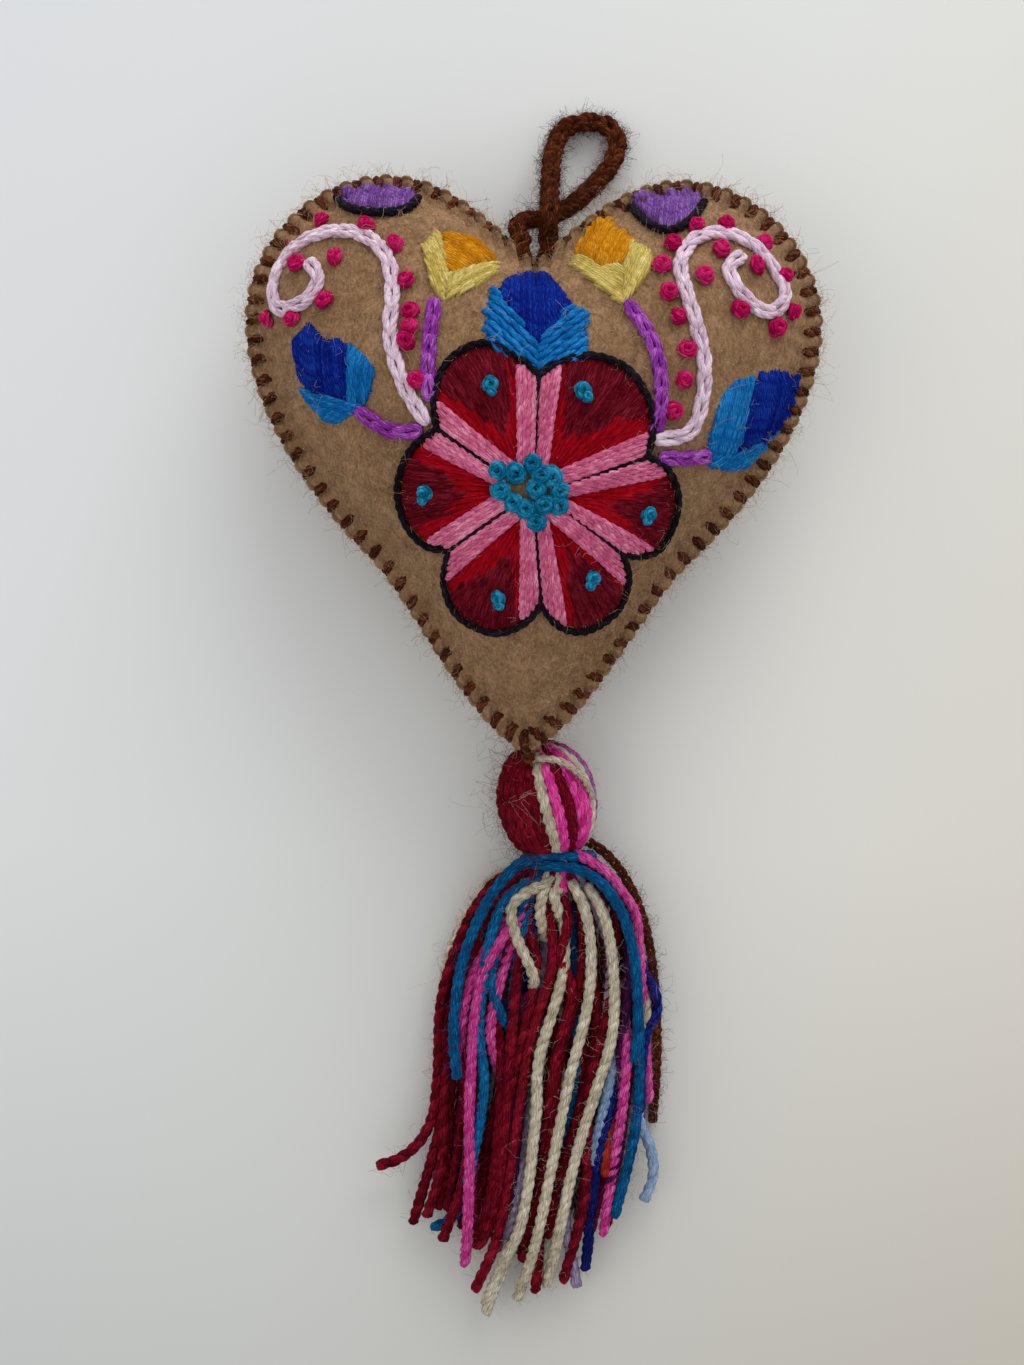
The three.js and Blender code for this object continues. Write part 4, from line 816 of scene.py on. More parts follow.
royal_blue = dyed_wool("royal blue embroidery wool", "#010a48", "#03187a", "#1c44a2", lay=0.3, sheen=0.04)
sky_blue = dyed_wool("sky blue embroidery wool", "#05447c", "#0663a8", "#3594d2", lay=0.3, sheen=0.05)
orange_wool = dyed_wool("orange embroidery wool", "#925400", "#bd7a06", "#dfa22c", lay=0.3)
lemon_wool = dyed_wool("lemon embroidery wool", "#8b7830", "#c0a856", "#e6d890", lay=0.3)
purple_wool = dyed_wool("purple embroidery wool", "#431f68", "#6c3f88", "#a077bc", lay=0.3)
MOTIFS = {
    "leaf_left_dark": (royal_blue, "royal_blue_wool", [
        ([(-38, 10.7), (-36.5, 9.2), (-34.9, 7.1), (-32.6, 7.2), (-31, 6.2), (-30.6, -3.2), (-37.2, -1),
          (-39.4, 1.2), (-40.5, 7.9)], 96)]),
    "leaf_left_light": (sky_blue, "sky_blue_wool", [
        ([(-30.9, 6.5), (-27.8, 3.9), (-26.4, 2), (-26.9, -1.3), (-27.9, -3.7), (-30.6, -3.6)], 84),
        ([(-30.4, -3.2), (-27.7, -3.7), (-32.2, -6.2), (-34.9, -5.8), (-38.2, -2.1), (-39.9, 0.6),
          (-37.2, -0.9)], 160)]),
    "leaf_right_dark": (royal_blue, "royal_blue_wool", [
        ([(38.1, 3.7), (43.9, 4.9), (45.9, 4.1), (45.2, 1.5), (44.1, -2), (42.4, -4.6), (39.7, -7),
          (34.7, -9.4), (36.2, -1.1)], 78)]),
    "leaf_right_light": (sky_blue, "sky_blue_wool", [
        ([(37, 3.3), (34.1, 1.9), (31.9, -0.3), (30.3, -4.1), (29.1, -10.8), (33.9, -10.6),
          (35.3, -6.8)], 75),
        ([(29.1, -10.6), (30.2, -12.3), (33.3, -12.7), (36.6, -11.4), (42.9, -4.7), (39.6, -6.8),
          (34.4, -9.6)], 33)]),
    "leaf_top_dark": (royal_blue, "royal_blue_wool", [
        ([(-6.3, 15.5), (-4.2, 18.4), (-0.9, 20.9), (2, 20.1), (5.8, 13.5), (6.4, 10.9), (0.6, 5.6)], 92)]),
    "leaf_top_light": (sky_blue, "sky_blue_wool", [
        ([(-6.9, 16), (-8, 13), (-8, 7.7), (-7.2, 5.6), (0.6, 1.5), (0.6, 6.2)], -42),
        ([(6.3, 13.5), (8.4, 11.6), (8.6, 6.2), (7.6, 4), (0.6, 1.5), (0.6, 6.2)], 40)]),
    "bud_left_orange": (orange_wool, "orange_wool", [
        ([(-15.8, 26.2), (-13.7, 26.6), (-11.1, 26), (-6.3, 22.1), (-9.3, 20.1), (-14.4, 18),
          (-15.9, 22.9)], -38)]),
    "bud_left_lemon": (lemon_wool, "lemon_wool", [
        ([(-16.5, 26.9), (-19.1, 23.7), (-17.1, 16.3), (-15.2, 13.3), (-14.2, 18.4), (-15.8, 23.9)], -68),
        ([(-15.2, 13.3), (-10.8, 15.6), (-6.4, 19.2), (-6.1, 21.4), (-9.3, 20.3), (-14.3, 18.4)], 32)]),
    "bud_right_orange": (orange_wool, "orange_wool", [
        ([(12.7, 31.2), (14.3, 28.3), (16.4, 26.3), (14.7, 20.3), (10.8, 20), (7, 24), (8.6, 28.1),
          (10.5, 30.3)], 64)]),
    "bud_right_lemon": (lemon_wool, "lemon_wool", [
        ([(6.7, 23.6), (6, 21.2), (9.1, 17.9), (14.6, 13.3), (14.7, 20.4), (10.8, 20.2)], -40),
        ([(14.4, 13.3), (17.3, 16.9), (18.9, 19.7), (19.3, 23.1), (16.5, 25.8), (14.6, 20.4)], 66)]),
    "berry_left": (purple_wool, "purple_wool", [
        ([(-34.4, 34.9), (-33.2, 36.2), (-27.1, 37), (-21.4, 35.4), (-20.9, 33.2), (-22.3, 30.9),
          (-25.6, 30.3), (-32.9, 32.4)], 86)]),
    "berry_right": (purple_wool, "purple_wool", [
        ([(18, 36.4), (25.8, 36.9), (27.9, 36.2), (28.8, 33.5), (26.9, 30.4), (22.6, 27.2), (19.1, 30),
          (16.8, 35.2)], 80)]),
}
SOFT_THREAD = 0.7
FEATHER_YARN = 1.45
for number, (node, (material, slot, fields)) in enumerate(MOTIFS.items()):
    rng = np.random.default_rng(20 + number)
    threads = []
    twisted = node == "leaf_top_light"
    for outline, angle in fields:
        threads += satin(outline, angle + 10, rng, 1.2, 0.05)
        threads += satin(outline, angle, rng, FEATHER_YARN if twisted else SOFT_THREAD, 0.45, twisted)
    threads += fuzz(threads, 320, 1.4, rng)
    dressed(spun(f"satin_{node}", threads, [material], 5), "heart", node)
UNDERLINES = {
    "berry_left_underline": [(-34.5, 34), (-32.6, 31.4), (-29, 29.8), (-24.7, 29.6), (-21.7, 30.6),
                             (-20.2, 33.2)],
    "berry_right_underline": [(15.9, 34), (18.4, 29.2), (20.9, 27.2), (23.4, 27.2), (26.4, 29.6),
                              (28.9, 33.4)],
}
UNDERLINE_YARN = 1.7
for node, places in UNDERLINES.items():
    line = on_felt(even_flat(places, 50), 0.6)
    threads = plies(evenly(line, 0.45 * MM), UNDERLINE_YARN * MM, 3.4 * MM)
    threads += fuzz(threads, 60, 1.3, rng)
    dressed(spun(f"twisted_{node}", threads, [black_wool]), "heart", node)

# Scrolls and stems
# Chain stitch in glossy stranded thread. The pale pink scrolls curl round the lobes and the violet stems join
# flower, buds and leaves.
pale_pink = dyed_wool("pale pink stranded thread", "#a3849c", "#dcc0d2", "#f6e8f1", lay=0.15, roughness=0.6)
violet = dyed_wool("violet stranded thread", "#4f1060", "#8c2c9c", "#c877d0", lay=0.15, roughness=0.6)
SCROLL_CHAIN = 2.9
STEM_CHAIN = 2.8
CHAINS = {
    "scroll_left": (pale_pink, "pale_pink_wool", SCROLL_CHAIN, 4.1, [
        (-17.4, -6.7), (-20.6, -1.8), (-23, 4.3), (-23.7, 9.5), (-23.5, 14.5), (-24.6, 20.8), (-27.8, 24.6),
        (-33.1, 26.3), (-38.4, 25.5), (-42.3, 22.9), (-44.4, 18.1), (-43.1, 13.6), (-38.1, 14.4),
        (-36.2, 18.2), (-38, 21)]),
    "scroll_right": (pale_pink, "pale_pink_wool", SCROLL_CHAIN, 4.1, [
        (20.3, -8.8), (25.7, -7.2), (27.6, -2.7), (27.9, 4.7), (26.3, 11.3), (24.1, 20.8), (26.7, 25.6),
        (31.1, 27.1), (36.3, 25.7), (40.2, 21.6), (42.2, 17.1), (39.3, 13.7), (35.2, 15.5), (32.2, 20.5),
        (34.6, 23.3)]),
    "stem_left_upper": (violet, "violet_wool", STEM_CHAIN, 3.4, [
        (-16.5, 13.3), (-17.1, 6.8), (-17.2, 0.1), (-16.8, -2.8)]),
    "stem_left_lower": (violet, "violet_wool", STEM_CHAIN, 3.4, [
        (-28.7, -4.6), (-24.4, -7.5), (-21.9, -8.2), (-18.5, -8.1)]),
    "stem_right_upper": (violet, "violet_wool", STEM_CHAIN, 3.4, [
        (15.2, 13.3), (18.2, 9.1), (20.2, 4.2), (20.8, -2.4), (20.1, -7.2)]),
    "stem_right_lower": (violet, "violet_wool", STEM_CHAIN, 3.4, [
        (21.1, -11.5), (25.1, -11.4), (29.3, -10.7)]),
}
for number, (node, (material, slot, width, link, places)) in enumerate(CHAINS.items()):
    flat = even_flat(places, 6 * len(places) + 20)
    line = on_felt(flat, 0.5)
    above = on_felt(flat, 1.5) - line
    above /= np.linalg.norm(above, axis=1)[:, None]
    strand = 0.5 * width
    threads = []
    for n, loop in enumerate(chain(line, above, (width - strand) * MM, link * MM, 0.32 * MM, 0.7)):
        threads += plies(evenly(loop, 0.4 * MM), strand * MM, 6 * MM, 0, 3, start=1.3 * n)
    threads += fuzz(threads, 160, 1.0, np.random.default_rng(60 + number))
    dressed(spun(f"chain_{node}", threads, [material], 5), "heart", node)

# Magenta knots
# Plump French knots of magenta wool scattered between the motifs.
MAGENTA_KNOTS = [
    (-36, 28.5), (-28.5, 27), (-23.5, 23.5), (-43, 25.5), (-40, 21), (-33.5, 21.5), (-46.5, 19), (-21.5, 17),
    (-35, 14), (-20.5, 11.5), (-20.5, 9), (-21, 6.5), (-45, 12.5), (-40.5, 11.5), (-19, 0), (27, 28),
    (32, 28.5), (23, 24.5), (21, 20.5), (31, 24), (28, 19), (22, 15.5), (38.5, 26), (37, 21.5), (42, 20.5),
    (23.5, 11.5), (34, 13.5), (43.5, 14.5), (40.5, 11.5), (25, 6), (24.5, 1), (23, -4)]
magenta_dots = dyed_wool("magenta embroidery wool", "#74002e", "#b0024c", "#da3a80", sheen=0.05)
rng = np.random.default_rng(8)
dot_threads = []
for x, y in MAGENTA_KNOTS:
    dot_threads += french_knot(x, y, rng.uniform(3.3, 3.9), 1.35, rng, 0.25)
dot_threads += fuzz(dot_threads, 900, 1.0, rng)
dressed(spun("magenta_knots", dot_threads, [magenta_dots], 5), "heart")

# Knot at the tip and its thread
# A few turns of brown wool at the heart's tip. From it one cream thread runs over the tassel's head, and one
# down into its core.
KNOT_AT = (0.4, -62.4, 18.4)
cream_wool = dyed_wool("cream worsted wool", "#786b56", "#b8ad96", "#ece4d4")
rng = np.random.default_rng(9)
turn = np.linspace(0, 6 * np.pi, 70)
wrapped = np.column_stack([0.75 * np.cos(turn), 0.5 * np.sin(turn), 0.75 * np.sin(turn) * np.cos(turn / 6)])
knot_threads = plies((np.array(KNOT_AT) + wrapped) * MM, 0.9 * MM, 2.4 * MM)
knot_stem = through([(0.3, -60.4, 18.9), (0.5, -61.6, 19.2), (0.4, -62.8, 18.6)], 0.4)
knot_threads += plies(knot_stem, 1.0 * MM, 2.4 * MM)
knot_threads += stray(knot_threads, 120, 1.5, 0.06, rng)
dressed(spun("tip_knot", knot_threads, [rust_wool]), "tie", "tie_knot")

# Tassel head, its core and its thread
# Two-ply worsted yarns laid side by side from pole to pole over a core of folded yarn, and drawn together at
# the neck. On top, from left to right, they are crimson, cream, hot pink, crimson, hot pink and cream.
YARN = 2.2
YARN_TWIST = 4.2
HEAD_HALF_LENGTH = 10.4
HEAD_RADIUS = 8.9
HEAD_MIDDLE = np.array([3.9, -70.2, 10.0])
NECK = np.array([6.2, -83.2, 7.6])
crimson_wool = dyed_wool("crimson worsted wool", "#260109", "#5e0414", "#9b1a32", sheen=0.05)
magenta_wool = dyed_wool("magenta worsted wool", "#7a1046", "#b62f7d", "#e67bbb")
hot_pink_wool = dyed_wool("hot pink worsted wool", "#860f50", "#cb2683", "#f069b8")
violet_wool = dyed_wool("violet worsted wool", "#4a2763", "#784d90", "#b091c2")
blue_wool = dyed_wool("peacock blue worsted wool", "#02263f", "#05497a", "#1d7eb4", sheen=0.06)
axis = (NECK - HEAD_MIDDLE) / np.linalg.norm(NECK - HEAD_MIDDLE)
head_side = unit(np.cross((0.0, 0.0, 1.0), axis))
head_up = np.cross(axis, head_side)


def head_line(angle, radius, half_length, first, last, count, twist):
    """A line down the head at an angle round its axis, from one polar angle to another."""
    polar = np.linspace(first, last, count)
    turn = math.radians(angle) + twist * (polar - math.pi / 2)
    out = radius * np.sin(polar) ** 0.85
    return (HEAD_MIDDLE - half_length * np.cos(polar)[:, None] * axis
            + (out * np.cos(turn))[:, None] * head_side + (out * np.sin(turn))[:, None] * head_up)


HEAD_COLOURS = {64: 0, 50: 2, 36: 2, 22: 1, 8: 3, -6: 2, -20: 0, -34: 1, -48: 0, -62: 0, -76: 2, -90: 0,
                -104: 0, -118: 1, -132: 0, -146: 0, -160: 0, -174: 1, 172: 0, 158: 0, 144: 0, 130: 0, 118: 0,
                106: 0, 93: 1, 79: 2}
rng = np.random.default_rng(10)
head_threads = []
for angle, slot in HEAD_COLOURS.items():
    down = head_line(angle, HEAD_RADIUS - 1.0, HEAD_HALF_LENGTH - 0.7, 0.2, 2.72, 13, -0.12)
    turn = math.radians(angle)
    outward = 3.6 * (math.cos(turn) * head_side + math.sin(turn) * head_up)
    neck_points = [NECK + (0, lower, 0) + outward for lower in (1.2, -2.6)]
    line = through(np.vstack([down, neck_points]), 0.5)
    head_threads += plies(line, 2.6 * MM, YARN_TWIST * MM, slot, start=rng.uniform(0, 6), apart=0.135)
head_yarns = list(head_threads)
head_threads += stray(head_yarns, 2400, 2.0, 0.055, rng)
head_threads += [hair for hair in stray(head_yarns, 950, 4.6, 0.055, rng, 1.3) if hair[0][-1, 0] < 1 * MM]
HEAD_WOOLS = [crimson_wool, cream_wool, hot_pink_wool, violet_wool]
head_piece = spun("tassel_head_yarns", head_threads, HEAD_WOOLS, 5)
core_threads = []
for ring, radius in ((9, 5.2), (5, 2.4), (1, 0.1)):
    for n in range(ring):
        angle = 360 * n / ring
        down = head_line(angle, radius, HEAD_HALF_LENGTH - 3.2, 0.35, 2.6, 8, 0.1)
        turn = math.radians(angle)
        low = NECK + (0, 1.0, 0) + 0.4 * radius * (math.cos(turn) * head_side + math.sin(turn) * head_up)
        line = through(np.vstack([down, [low]]), 1.0)
        core_threads += plies(line, YARN * MM, YARN_TWIST * MM, n % 2, start=n)
core_piece = spun("tassel_core_yarns", core_threads, [cream_wool, crimson_wool], 5)
pole = HEAD_MIDDLE - HEAD_HALF_LENGTH * axis
tie_line = through([(0.4, -61.6, 16.5), (pole[0] - 0.9, pole[1] + 0.3, 15.0),
                    (pole[0] - 0.3, pole[1] + 1.3, pole[2] + 1.2), pole + 0.6 * axis, pole + 2.0 * axis], 0.5)
over_line = through([(0.6, -62.6, 18), (2.8, -62.4, 18), (6.5, -63, 18.1), (10.2, -65.8, 16.9),
                     (12, -69.5, 14)], 0.5)
tie_threads = plies(tie_line, 1.0 * MM, 3.0 * MM) + plies(over_line, 1.4 * MM, 3.2 * MM)
tie_threads += stray(tie_threads, 60, 2.0, 0.07, rng)
tie_piece = spun("tie_thread_yarn", tie_threads, [cream_wool])
dressed(head_piece, "tassel", "tassel_head")
dressed(core_piece, "tassel", "tassel_core")
dressed(tie_piece, "tassel", "tie_thread")

# Skirt of the tassel
# Some eighty cut lengths of two-ply worsted yarn in crimson, cream, magenta, peacock blue, lavender, navy and
# a few odd colours. They fan out of the neck in four layers and lie on the table with uneven ends.
navy_wool = dyed_wool("navy worsted wool", "#03062a", "#0c1456", "#2a3a90")
lavender_wool = dyed_wool("lavender worsted wool", "#5b4b68", "#8a7b96", "#bfb0cc")
light_blue_wool = dyed_wool("light blue worsted wool", "#4a6488", "#7890b0", "#a9bfd6")
orange_red_wool = dyed_wool("orange red worsted wool", "#5c100a", "#8a1e12", "#bc4a30")
plum_wool = dyed_wool("plum worsted wool", "#1e0620", "#40123c", "#702f68")
SKIRT_WOOLS = [crimson_wool, cream_wool, magenta_wool, blue_wool, lavender_wool, light_blue_wool, navy_wool,
               orange_red_wool, plum_wool]
LEFT_EDGE = [(-82, 3.0), (-84, 1.0), (-86, -4.0), (-89, -8.4), (-94, -10.6), (-100, -11.6), (-107, -13.4),
             (-122, -14.2), (-133, -15.6), (-150, -17.2), (-170, -18)]
RIGHT_EDGE = [(-82, 9.5), (-84, 12.0), (-86, 17.0), (-88.4, 20.0), (-99, 21.8), (-106, 22.9), (-121, 23.2),
              (-132, 21.0), (-143, 18.8), (-150, 17.5), (-170, 15)]


def edge_at(edge, y):
    """How far across the skirt's edge lies at a distance down it."""
    ys, xs = zip(*edge[::-1])
    return np.interp(y, ys, xs)


def skirt_yarn(line, slot, rng, thickness=2.2, step=0.5):
    """One cut yarn of the skirt as its two plies, the cream and pink spun tighter than the rest."""
    pitch = rng.uniform(3.6, 4.4) * MM
    apart = 0.17 if slot in (1, 2) else 0.13
    return plies(evenly(line, step * MM), thickness * MM, pitch, slot, start=rng.uniform(0, 6), apart=apart)


def fanned(side, end_y, low, rng):
    """A yarn's run from the neck to its end, one layer's height over the table."""
    ys = [-82.6, -85.8, -88.2, -92.0, -99.0, -108.0, -120.0, -132.0, end_y * 0.45 - 132 * 0.55, end_y]
    phase, size = rng.uniform(0, 6), rng.uniform(0.2, 0.8)
    places = []
    for n, y in enumerate(ys):
        left, right_edge = edge_at(LEFT_EDGE, y), edge_at(RIGHT_EDGE, y)
        x = left + (right_edge - left) * (side + 1) / 2
        sunk = min(max((-85 - y) / 14, 0), 1) ** 0.7
        fallen = min(max((-y - 138) / 16, 0), 1)
        z = (7.6 + (low - 4.4) * 0.8) * (1 - sunk) + low * (1 - 0.12 * side * side) * sunk
        z = z + (1.3 - z) * 0.6 * fallen
        if n > 2:
            x += size * math.sin(0.11 * y + phase)
        places.append((x, y, max(z, 1.25)))
    return through(places, 0.6)


LAYERS = {"lowest": (1.3, 13), "lower": (3.5, 13), "upper": (5.7, 12)}
for number, (row, (low, count)) in enumerate(LAYERS.items()):
    rng = np.random.default_rng(30 + number)
    threads = []
    for n in range(count):
        side = 2 * (n + 0.5) / count - 1 + rng.normal(0, 0.02)
        end_y = -150 + 6 * side * side - rng.uniform(-5, 4)
        colour = rng.choice(9, p=[0.54, 0.1, 0.09, 0.09, 0.06, 0.03, 0.04, 0.02, 0.03])
        line = fanned(side, end_y, low + rng.uniform(-0.15, 0.3), rng)
        threads += skirt_yarn(line, colour, rng, step=0.6)
    threads += stray(threads, 1100, 2.2, 0.05, rng, 0.8)
    piece = spun(f"skirt_yarns_{row}", threads, SKIRT_WOOLS, 5)
    dressed(piece, "tassel", f"skirt_row_{row}")
TOP_YARNS = [
    (0, 9.6, [(4, -84.5), (5.5, -98.5), (1.5, -115), (-3.5, -149), (-7.5, -160)]),
    (0, 9.2, [(1, -86.5), (1, -93.5), (2.5, -99.5), (-2.5, -126), (-5.5, -148), (-7, -151.5)]),
    (0, 9.8, [(6.5, -84.5), (8, -91.5), (7, -98.5), (9, -104), (6, -118.5), (3.5, -160)]),
    (0, 9.3, [(9.5, -85), (11, -95), (10.5, -103), (7, -116.5), (5.5, -133), (1, -154)]),
    (0, 9.3, [(11.5, -85), (15.5, -97), (16, -105.5), (12.5, -122), (12, -141.5), (8.5, -158)]),
    (0, 8, [(10, -85), (12.5, -99), (13.5, -113.5), (6.5, -142.5), (5.5, -149.5)]),
    (0, 6, [(2.5, -82.5), (-4.5, -85), (-8, -89), (-11, -95), (-14.5, -107), (-15, -121.5), (-16, -129),
            (-18.5, -133.5), (-21.5, -136), (-25.5, -137.5)]),
    (0, 5.6, [(-12.5, -98.5), (-14, -112.5), (-13.5, -121.5), (-14.5, -130.5), (-19, -148)]),
    (0, 6.4, [(-11.5, -100), (-13.5, -121.5), (-14, -137.5), (-16.5, -146.5)]),
    (0, 8.6, [(1.5, -84.5), (-6, -90.5), (-9.5, -106.5), (-9.5, -137), (-13.5, -150.5)]),
    (0, 8.4, [(2, -85), (-2.5, -89), (-5.5, -97.5), (-8, -126), (-8.5, -148)]),
    (0, 9, [(2.5, -85), (-0.5, -89), (-4.5, -106.5), (-3.5, -117), (-4.5, -138.5), (-6.5, -149)]),
    (0, 9, [(3.5, -85), (0.5, -92), (-3.5, -138.5), (-5.5, -149.5)]),
    (3, 10.4, [(3, -83.5), (-3.5, -88.5), (-7.5, -109.5), (-6.5, -122), (-9, -139)]),
    (3, 9.6, [(2.5, -85), (0, -93.5), (-2.5, -114)]),
    (3, 10.2, [(2, -85), (-4, -96), (-5.5, -102.5), (-4, -108), (-2, -112.5)]),
    (3, 10.2, [(21, -96.5), (21, -127), (17.5, -145)]),
    (3, 4.8, [(-7.5, -122), (-9, -134.5), (-12.5, -147.5), (-15.5, -149)]),
    (3, 4.8, [(-6, -122), (-7, -134.5), (-11.5, -147)]),
    (2, 10, [(1.5, -84.5), (-7.5, -99), (-10.5, -109.5), (-10, -120.5)]),
    (2, 9.9, [(2, -85), (-3, -99.5), (-5.5, -112.5), (-3, -122.5)]),
    (2, 10.3, [(18, -103), (19, -116.5), (15.5, -148.5)]),
    (8, 9.2, [(19, -95.5), (19, -103), (18, -118.5), (18.5, -125.5), (18, -132.5), (16.5, -139)]),
    (2, 8.8, [(8.6, -79.4, 12.4), (12, -80.8, 12.8), (15.5, -83.6, 12.2), (18, -87, 10.8), (20, -90),
              (21, -96.5), (23.5, -125)]),
    (1, 11.2, [(4.5, -84.5), (0.5, -86.5), (-2, -89), (-1.5, -93.5), (2, -101.5), (2, -104.5)]),
    (1, 10.8, [(4, -85), (3, -89.5), (4, -95.5)]),
    (1, 10.6, [(5, -84.5), (6, -89), (7, -92)]),
    (1, 7.8, [(6, -106), (3.5, -118), (1, -145), (-5.5, -164.5)]),
    (1, 6.4, [(10, -124.5), (6, -142.5), (5.5, -159.5)]),
    (1, 5, [(2, -83), (-5, -84.5), (-9.5, -90.5), (-13, -98), (-14.5, -106)]),
    (1, 8.2, [(21.5, -103), (22.5, -107.5), (21, -118)]),
    (4, 9.9, [(10.5, -84.5), (14.5, -92.5), (16, -98.5), (13.5, -125.5)]),
    (4, 8, [(13.5, -120.5), (8.5, -143), (11, -159)]),
    (4, 7.6, [(1.5, -128), (0, -140.5), (-2, -150)]),
    (5, 9, [(17.5, -113), (16.5, -118.5), (13, -135.5)]),
    (5, 5.4, [(21.5, -117.5), (22, -129), (24, -133.5), (24.5, -139), (23, -143)]),
    (6, 7.8, [(8.8, -80, 11.4), (12.8, -81.6, 11.8), (16.6, -85, 10.8), (19.4, -90), (22, -101), (24, -104.5),
              (24.5, -108.5), (23, -111), (22, -116.5), (22, -129.5)]),
    (6, 9, [(18, -113), (16.5, -124), (14, -136.5), (12.5, -155.5)]),
    (6, 8.6, [(3, -85), (1.5, -95.5), (0.5, -107)]),
    (7, 9.2, [(18, -116.5), (16, -131), (15.5, -137.5)]),
    (8, 8.2, [(1.5, -111.5), (0.5, -120.5), (-1.5, -145)]),
]


def laid_over(places, settled):
    """Places on the skirt with their heights: out of the neck, raised under the tie, settled below, fallen at
    the ends, and tucked in under the others where a yarn begins or ends among them."""
    lifted = [(0.6 * places[0][0] + 2.5, -81.4, 10.2)] if -88 < places[0][1] < -81 else []
    for n, (x, y, *height) in enumerate(places):
        raised = 2.3 * min(max((y + 100) / 15, 0), 1) ** 1.5
        neck_in = min(max((y + 87) / 3, 0), 1)
        fallen = min(max((-y - 138) / 24, 0), 1) ** 1.2
        outer = 0.35 * min(abs(x - 4) / 22, 1) ** 3
        z = (settled + raised) * (1 - outer * 0.3) - 2.4 * neck_in
        z = z + (2.2 - z) * 0.75 * fallen
        if n == 0 and y < -90 or n == len(places) - 1 and y > -130:
            z = max(z - 3.5, 1.3)
        lifted.append((x, y, *(height or [z])))
    return through(lifted, 0.6)


rng = np.random.default_rng(40)
top_threads = []
for slot, settled, places in TOP_YARNS:
    top_threads += skirt_yarn(laid_over(places, settled), slot, rng)
top_piece = spun("skirt_yarns_uppermost", top_threads, SKIRT_WOOLS)
dressed(top_piece, "tassel", "skirt_row_uppermost")
top_hairs = spun("skirt_hairs", stray(top_threads, 5000, 2.0, 0.05, rng, 0.8), SKIRT_WOOLS)
dressed(top_hairs, "tassel")

# Neck tie and single yarns
# One peacock blue yarn wound round the neck, whose two ends fall over the skirt, and four long yarns, three
# cream and one magenta, that lie on top of it.
NECK_TIE = 2.2
WINDING_RADIUS = 6.0
tie_left = [(-11.3, -120), (-12, -113.5), (-11.8, -106.5), (-10.6, -99), (-8.4, -92.5), (-4.8, -85.6)]
tie_right = [(13.2, -84.0), (17.2, -89.2), (19.6, -96), (20.6, -103), (20.9, -110), (20.5, -116.5)]


def over_skirt(x, y):
    """A place on top of the skirt, which settles from its neck down."""
    return x, y, np.interp(-85.8 - y, (0, 2.4, 6, 13, 24), (13.5, 13.2, 12.3, 11.2, 10.8))


winding = [(6.2 + WINDING_RADIUS * math.sin(math.radians(a)), -79.7 - 1.9 * (a + 20) / 360,
            7.6 + WINDING_RADIUS * math.cos(math.radians(a))) for a in range(-20, 381, 20)]
tie_run = [over_skirt(*place) for place in tie_left] + [(-0.4, -81.2, 12.9)] + winding
tie_run += [over_skirt(*place) for place in tie_right]
rng = np.random.default_rng(41)
neck_threads = skirt_yarn(through(tie_run, 0.6), 0, rng, NECK_TIE)
neck_threads += stray(neck_threads, 500, 2.0, 0.055, rng)
dressed(spun("neck_tie_yarn", neck_threads, [blue_wool]), "tassel", "neck_tie")
SINGLE_YARNS = {
    "cream_yarn_left": (cream_wool, "cream_wool", [
        (6.6, -85.4, 9), (7.4, -93, 9.6), (7.6, -100, 9.8), (5.6, -108), (3.2, -117), (3, -126), (0.6, -146),
        (-2.4, -154, 7), (-5.6, -163, 3)]),
    "cream_yarn_middle": (cream_wool, "cream_wool", [
        (8.6, -84.6, 11.6), (10.8, -89), (12.2, -96), (11.9, -106), (8.8, -120), (6.4, -133), (4, -146),
        (2.4, -154, 7), (0.2, -162, 3)]),
    "cream_yarn_right": (cream_wool, "cream_wool", [
        (11.4, -85.2, 11.4), (14.2, -90), (16.2, -99), (16.3, -112), (13.6, -122), (10.4, -133), (7.9, -145),
        (6.8, -152, 8), (5.6, -159, 4)]),
    "magenta_yarn_left": (magenta_wool, "magenta_wool", [
        (0.6, -88.4, 9.6), (-4, -95.5), (-7, -101.4), (-8.4, -110), (-8.8, -118), (-9, -126), (-8.8, -136),
        (-9, -147), (-9.4, -154.5, 7)]),
}
for number, (node, (material, slot, places)) in enumerate(SINGLE_YARNS.items()):
    rng = np.random.default_rng(42 + number)
    line = through([p if len(p) == 3 else over_skirt(*p) for p in places], 0.6)
    threads = skirt_yarn(line, 0, rng)
    threads += stray(threads, 350, 1.9, 0.055, rng)
    dressed(spun(f"{node}_plies", threads, [material]), "tassel", node)

# Loose hairs on the felt
# Fulled felt sheds short hairs, which lie every way over it between the stitches and stand out along its rim.
MOTIF_NAMES = ("petal_", "leaf_", "bud_", "berry_", "flower_eye")
STITCHED_NODES = [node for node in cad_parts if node.startswith(MOTIF_NAMES)]
felt_hair = dyed_wool("loose felt hairs", "#75593f", "#ab8a69", "#dcc4a6")


